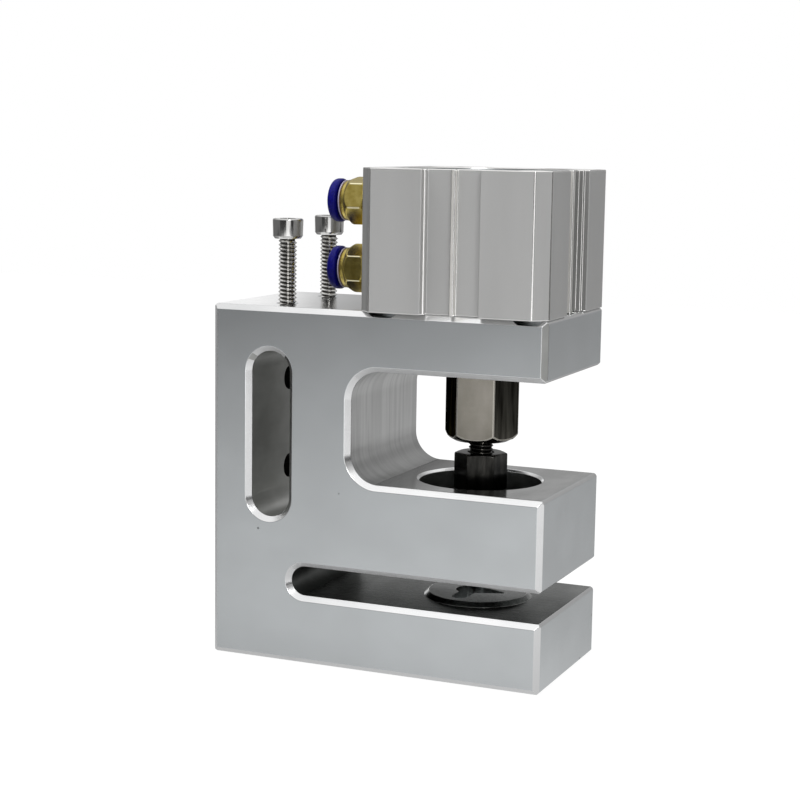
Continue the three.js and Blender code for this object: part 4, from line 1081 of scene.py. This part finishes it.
def release_collar():
    rounding = arc((COLLAR_RADIUS - COLLAR_ROUND, COLLAR_END - COLLAR_ROUND), COLLAR_ROUND, 0, 90, 9)
    lip = arc((COLLAR_INSIDE + COLLAR_LIP, COLLAR_END - COLLAR_LIP), COLLAR_LIP, 90, 180, 3)
    sleeve = COLLAR_START - SLEEVE_LENGTH
    collar = turned("collar", [
        (COLLAR_INSIDE, sleeve), (SLEEVE_RADIUS, sleeve), (SLEEVE_RADIUS, COLLAR_START),
        (COLLAR_RADIUS - COLLAR_FOOT, COLLAR_START), (COLLAR_RADIUS, COLLAR_START + COLLAR_FOOT),
        *rounding, *lip], blue_plastic, SMALL_STEPS)
    return finish_edges(collar, 0.16, 3)


for side, height, turn in (("lower", PORT_HEIGHTS[0], 2), ("upper", PORT_HEIGHTS[1], 15)):
    aim = Matrix.Translation(((RAM_X - CYLINDER_HALF) * MM, 0, height * MM)) @ POINT_LEFT
    stand_for(put(fitting_body(turn), aim), side + "_fitting_body", "machine")
    stand_for(put(fitting_ring(), aim), side + "_fitting_ring", "machine")
    stand_for(put(release_collar(), aim), side + "_release_collar", side + "_collar")
print("fittings made")

# %% [markdown]
# ## Covers and rings
# From above, the cylinder shows its closed end: a dished cover held by a spring ring. Both are turned again
# with fine steps, and the ring gets its gap and its two eyes.

# %% Head cover and spring rings
COVER_RADIUS, DISH_RADIUS, DISH_DEPTH, DISH_SLOPE = 24.92, 18, 1.2, 0.4
cover_low, cover_high = heights("head_cover")
head_cover = turned("head cover", [
    (0, cover_low), (COVER_RADIUS, cover_low), (COVER_RADIUS, cover_high),
    (DISH_RADIUS + DISH_SLOPE, cover_high), (DISH_RADIUS, cover_high - DISH_DEPTH),
    (0, cover_high - DISH_DEPTH)], anodised, centre=RAM)
finish_edges(head_cover, 0.15)
stand_for(head_cover, "head_cover", "machine")

RING_OUTER, RING_INNER, EYE, EYE_HOLE, HALF_GAP = 25.92, 23.3, 2.6, 2, 0.3


def spring_ring(node):
    low, high = heights(node)
    ring = turned("ring", [(RING_INNER, low), (RING_OUTER, low), (RING_OUTER, high), (RING_INNER, high)],
                  black_oxide)
    reach = RING_OUTER + OVERRUN
    opening = reach * math.tan(HALF_GAP)
    cut(ring, prism("gap", [(0, 0), (reach, -opening), (reach, opening)], low - OVERRUN, high + OVERRUN,
                    black_oxide))
    place = CYLINDER_BORE / 2 - EYE - 0.3
    angle = HALF_GAP + EYE / place
    for side in (-1, 1):
        centre = (place * math.cos(angle), side * place * math.sin(angle))
        combine(ring, plug("eye", 2 * EYE, low, high, black_oxide, centre), "UNION")
        cut(ring, plug("eye hole", EYE_HOLE, low - OVERRUN, high + OVERRUN, black_oxide, centre))
    finish_edges(ring, 0.1)
    return stand_for(put(ring, Matrix.Translation((RAM_X * MM, 0, 0))), node, "machine")


for node in ("head_retaining_ring", "rod_retaining_ring"):
    spring_ring(node)
print("cover and rings made")

# %% [markdown]
# ## The pieces that stay hidden
# Seals, tube grips, the piston and the rod cover sit inside the cylinder and the fittings. Their CAD solids
# are right as they are, so they only get a finish each.

# %% Finishes for the hidden pieces
hidden = {
    "rod_cover": anodised, "piston": anodised, "piston_screw": bright_steel,
    "upper_fitting_grip": bright_steel, "lower_fitting_grip": bright_steel,
    "upper_fitting_seal": seal_rubber, "lower_fitting_seal": seal_rubber,
    "head_cover_seal": seal_rubber, "rod_cover_seal": seal_rubber, "rod_seal": seal_rubber,
    "upper_piston_seal": seal_rubber, "lower_piston_seal": seal_rubber,
}
for node, finish in hidden.items():
    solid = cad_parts[node]
    for place in solid.material_slots:
        place.material = finish
print("hidden pieces:", len(hidden))

# %% [markdown]
# ## Light
# A photographer lights bright metal by what it reflects. Here the world is white to the camera, and to the
# metal it is a room of grey screens. Each pair in ROOM is a place round the room, as a part of a full turn,
# and the grey that stands there. Each row in LAYERS says from which height of a direction to which another
# grey takes over. One large soft lamp stands at the upper left, and a second one fills from the right.

# %% World
WHITE = (1, 1, 1, 1)


def ramp_of(world, stops):
    ramp = add_node(world, "ShaderNodeValToRGB")
    ramp.color_ramp.interpolation = "EASE"
    elements = ramp.color_ramp.elements
    elements[0].position, elements[1].position = stops[0][0], stops[-1][0]
    for position, _ in stops[1:-1]:
        elements.new(position)
    for element, (_, grey) in zip(elements, stops):
        element.color = (grey, grey, grey, 1)
    return ramp


ROOM = [(0, 0.18), (0.14, 0.18), (0.165, 0.05), (0.285, 0.03), (0.298, 1), (0.375, 1), (0.388, 0.03),
        (0.49, 0.05), (0.52, 0.2), (0.6, 0.2), (0.65, 0.36), (0.74, 0.4), (0.818, 0.4), (0.827, 1), (0.88, 1),
        (0.92, 0.15), (1, 0.18)]
LAYERS = [(0.11, 0.17, 0.3), (0.3, 0.8, 1)]


def make_world():
    """Screens by their place round the room, then the layers over them. The camera sees only white."""
    world = bpy.data.worlds.new("studio")
    bpy.context.scene.world = world
    world.use_nodes = True
    world.node_tree.nodes.clear()
    link = world.node_tree.links.new
    out = add_node(world, "ShaderNodeOutputWorld")
    seen = add_node(world, "ShaderNodeBackground", {"Color": WHITE})
    room = add_node(world, "ShaderNodeBackground")
    path = add_node(world, "ShaderNodeLightPath")
    choose = add_node(world, "ShaderNodeMixShader")
    direction = add_node(world, "ShaderNodeTexCoord")
    parts = add_node(world, "ShaderNodeSeparateXYZ")
    around = add_node(world, "ShaderNodeTexGradient", gradient_type="RADIAL")
    screens = ramp_of(world, ROOM)
    link(direction.outputs["Generated"], parts.inputs[0])
    link(direction.outputs["Generated"], around.inputs[0])
    link(around.outputs["Fac"], screens.inputs["Fac"])
    below = screens.outputs["Color"]
    for start, stop, grey in LAYERS:
        height = add_node(world, "ShaderNodeMapRange", {"From Min": start, "From Max": stop})
        upwards = add_node(world, "ShaderNodeMix", data_type="RGBA")
        upwards.inputs["B"].default_value = (grey, grey, grey, 1)
        link(parts.outputs["Z"], height.inputs["Value"])
        link(height.outputs["Result"], upwards.inputs["Factor"])
        link(below, upwards.inputs["A"])
        below = upwards.outputs["Result"]
    link(below, room.inputs["Color"])
    link(path.outputs["Is Camera Ray"], choose.inputs["Fac"])
    link(room.outputs[0], choose.inputs[1])
    link(seen.outputs[0], choose.inputs[2])
    link(choose.outputs[0], out.inputs["Surface"])
    return world


make_world()
print("world ready")

# %% [markdown]
# Polished metal shows the floor too, so the floor gets its own greys for reflections: paper that grows
# lighter to the right and dimmer far away, a white card in front, and five factors that dim or lift the
# light over one part of the floor each. The camera sees none of this, only white paper with the object's
# soft shadow.

# %% Floor
FLOOR_HALF = 1.3
PAPER = (0.8, -0.6, 0)
FAR_FROM = (0, 0.35, 0)


def floor_reflection(finish):
    """How bright the floor looks in the metal. Places are in metres."""
    link = finish.node_tree.links.new

    def span(value, low, high, start, stop):
        part = add_node(finish, "ShaderNodeMapRange",
                        {"From Min": low, "From Max": high, "To Min": start, "To Max": stop})
        link(value, part.inputs["Value"])
        return part.outputs["Result"]

    def calculate(operation, first, second):
        result = add_node(finish, "ShaderNodeMath", operation=operation)
        link(first, result.inputs[0])
        link(second, result.inputs[1])
        return result.outputs[0]

    place = add_node(finish, "ShaderNodeTexCoord")
    axes = add_node(finish, "ShaderNodeSeparateXYZ")
    along = add_node(finish, "ShaderNodeVectorMath", {1: PAPER}, operation="DOT_PRODUCT")
    distance = add_node(finish, "ShaderNodeVectorMath", {1: FAR_FROM}, operation="DISTANCE")
    for node in (axes, along, distance):
        link(place.outputs["Object"], node.inputs[0])
    x, y = axes.outputs["X"], axes.outputs["Y"]
    lighter = span(along.outputs["Value"], -0.35, 0.9, 0.3, 1.3)
    dimmer = span(distance.outputs["Value"], 0.5, 1.35, 1, 0.5)
    card = calculate("MULTIPLY", span(x, -0.12, 0.02, 0, 0.8), span(y, -0.5, -0.42, 1, 0))
    back_right = calculate("MULTIPLY", span(x, 0.4, 0.5, 0, 1), span(y, -0.12, 0.04, 0, 1))
    factors = {
        "back right": span(back_right, 0, 1, 1, 0.2),
        "far right": span(x, 0.78, 0.9, 1, 0.1),
        "behind": span(y, -0.08, 0.06, 1, 0.76),
        "far behind": span(y, 0.5, 0.95, 1, 1.5),
        "far left": span(x, -0.6, -0.42, 0.58, 1),
    }
    light = calculate("ADD", calculate("MULTIPLY", lighter, dimmer), card)
    for factor in factors.values():
        light = calculate("MULTIPLY", light, factor)
    return light


def make_floor():
    """A pale floor: white to the camera but for a soft shadow, and graded in reflections."""
    shape = bmesh.new()
    bmesh.ops.create_grid(shape, x_segments=1, y_segments=1, size=FLOOR_HALF)
    finish = bpy.data.materials.new("pale floor")
    finish.use_nodes = True
    finish.node_tree.nodes.clear()
    link = finish.node_tree.links.new
    out = add_node(finish, "ShaderNodeOutputMaterial")
    paper = add_node(finish, "ShaderNodeBsdfDiffuse", {"Color": (0.8, 0.8, 0.8, 1)})
    glow = add_node(finish, "ShaderNodeEmission", {"Strength": 1.05})
    shadowed = add_node(finish, "ShaderNodeMixShader", {"Fac": 0.9})
    mirrored = add_node(finish, "ShaderNodeEmission")
    path = add_node(finish, "ShaderNodeLightPath")
    by_camera = add_node(finish, "ShaderNodeMixShader")
    by_gloss = add_node(finish, "ShaderNodeMixShader")
    link(paper.outputs[0], shadowed.inputs[1])
    link(glow.outputs[0], shadowed.inputs[2])
    link(floor_reflection(finish), mirrored.inputs["Strength"])
    link(path.outputs["Is Camera Ray"], by_camera.inputs["Fac"])
    link(path.outputs["Is Glossy Ray"], by_gloss.inputs["Fac"])
    link(paper.outputs[0], by_gloss.inputs[1])
    link(mirrored.outputs[0], by_gloss.inputs[2])
    link(by_gloss.outputs[0], by_camera.inputs[1])
    link(shadowed.outputs[0], by_camera.inputs[2])
    link(by_camera.outputs[0], out.inputs["Surface"])
    floor = mesh_object("floor", shape, [finish])
    return floor


make_floor()
print("floor ready")


# %% Lamps
def soft_lamp(name, place, target, size, watts, mirrored=True):
    lamp = bpy.data.lights.new(name, "AREA")
    lamp.shape = "RECTANGLE"
    lamp.size, lamp.size_y = size
    lamp.energy = watts
    holder = bpy.data.objects.new(name, lamp)
    bpy.context.scene.collection.objects.link(holder)
    holder.visible_glossy = mirrored
    holder.location = place
    holder.rotation_euler = (Vector(target) - Vector(place)).to_track_quat("-Z", "Y").to_euler()
    return holder


MIDDLE = (0, 0, 0.08)
soft_lamp("top_lamp", (-0.35, -0.25, 0.95), MIDDLE, (0.8, 0.8), 9, mirrored=False)
soft_lamp("right_lamp", (0.6, -0.85, 0.6), MIDDLE, (0.3, 0.5), 3.4)
bpy.context.scene.view_settings.view_transform = "Standard"
print("studio ready")
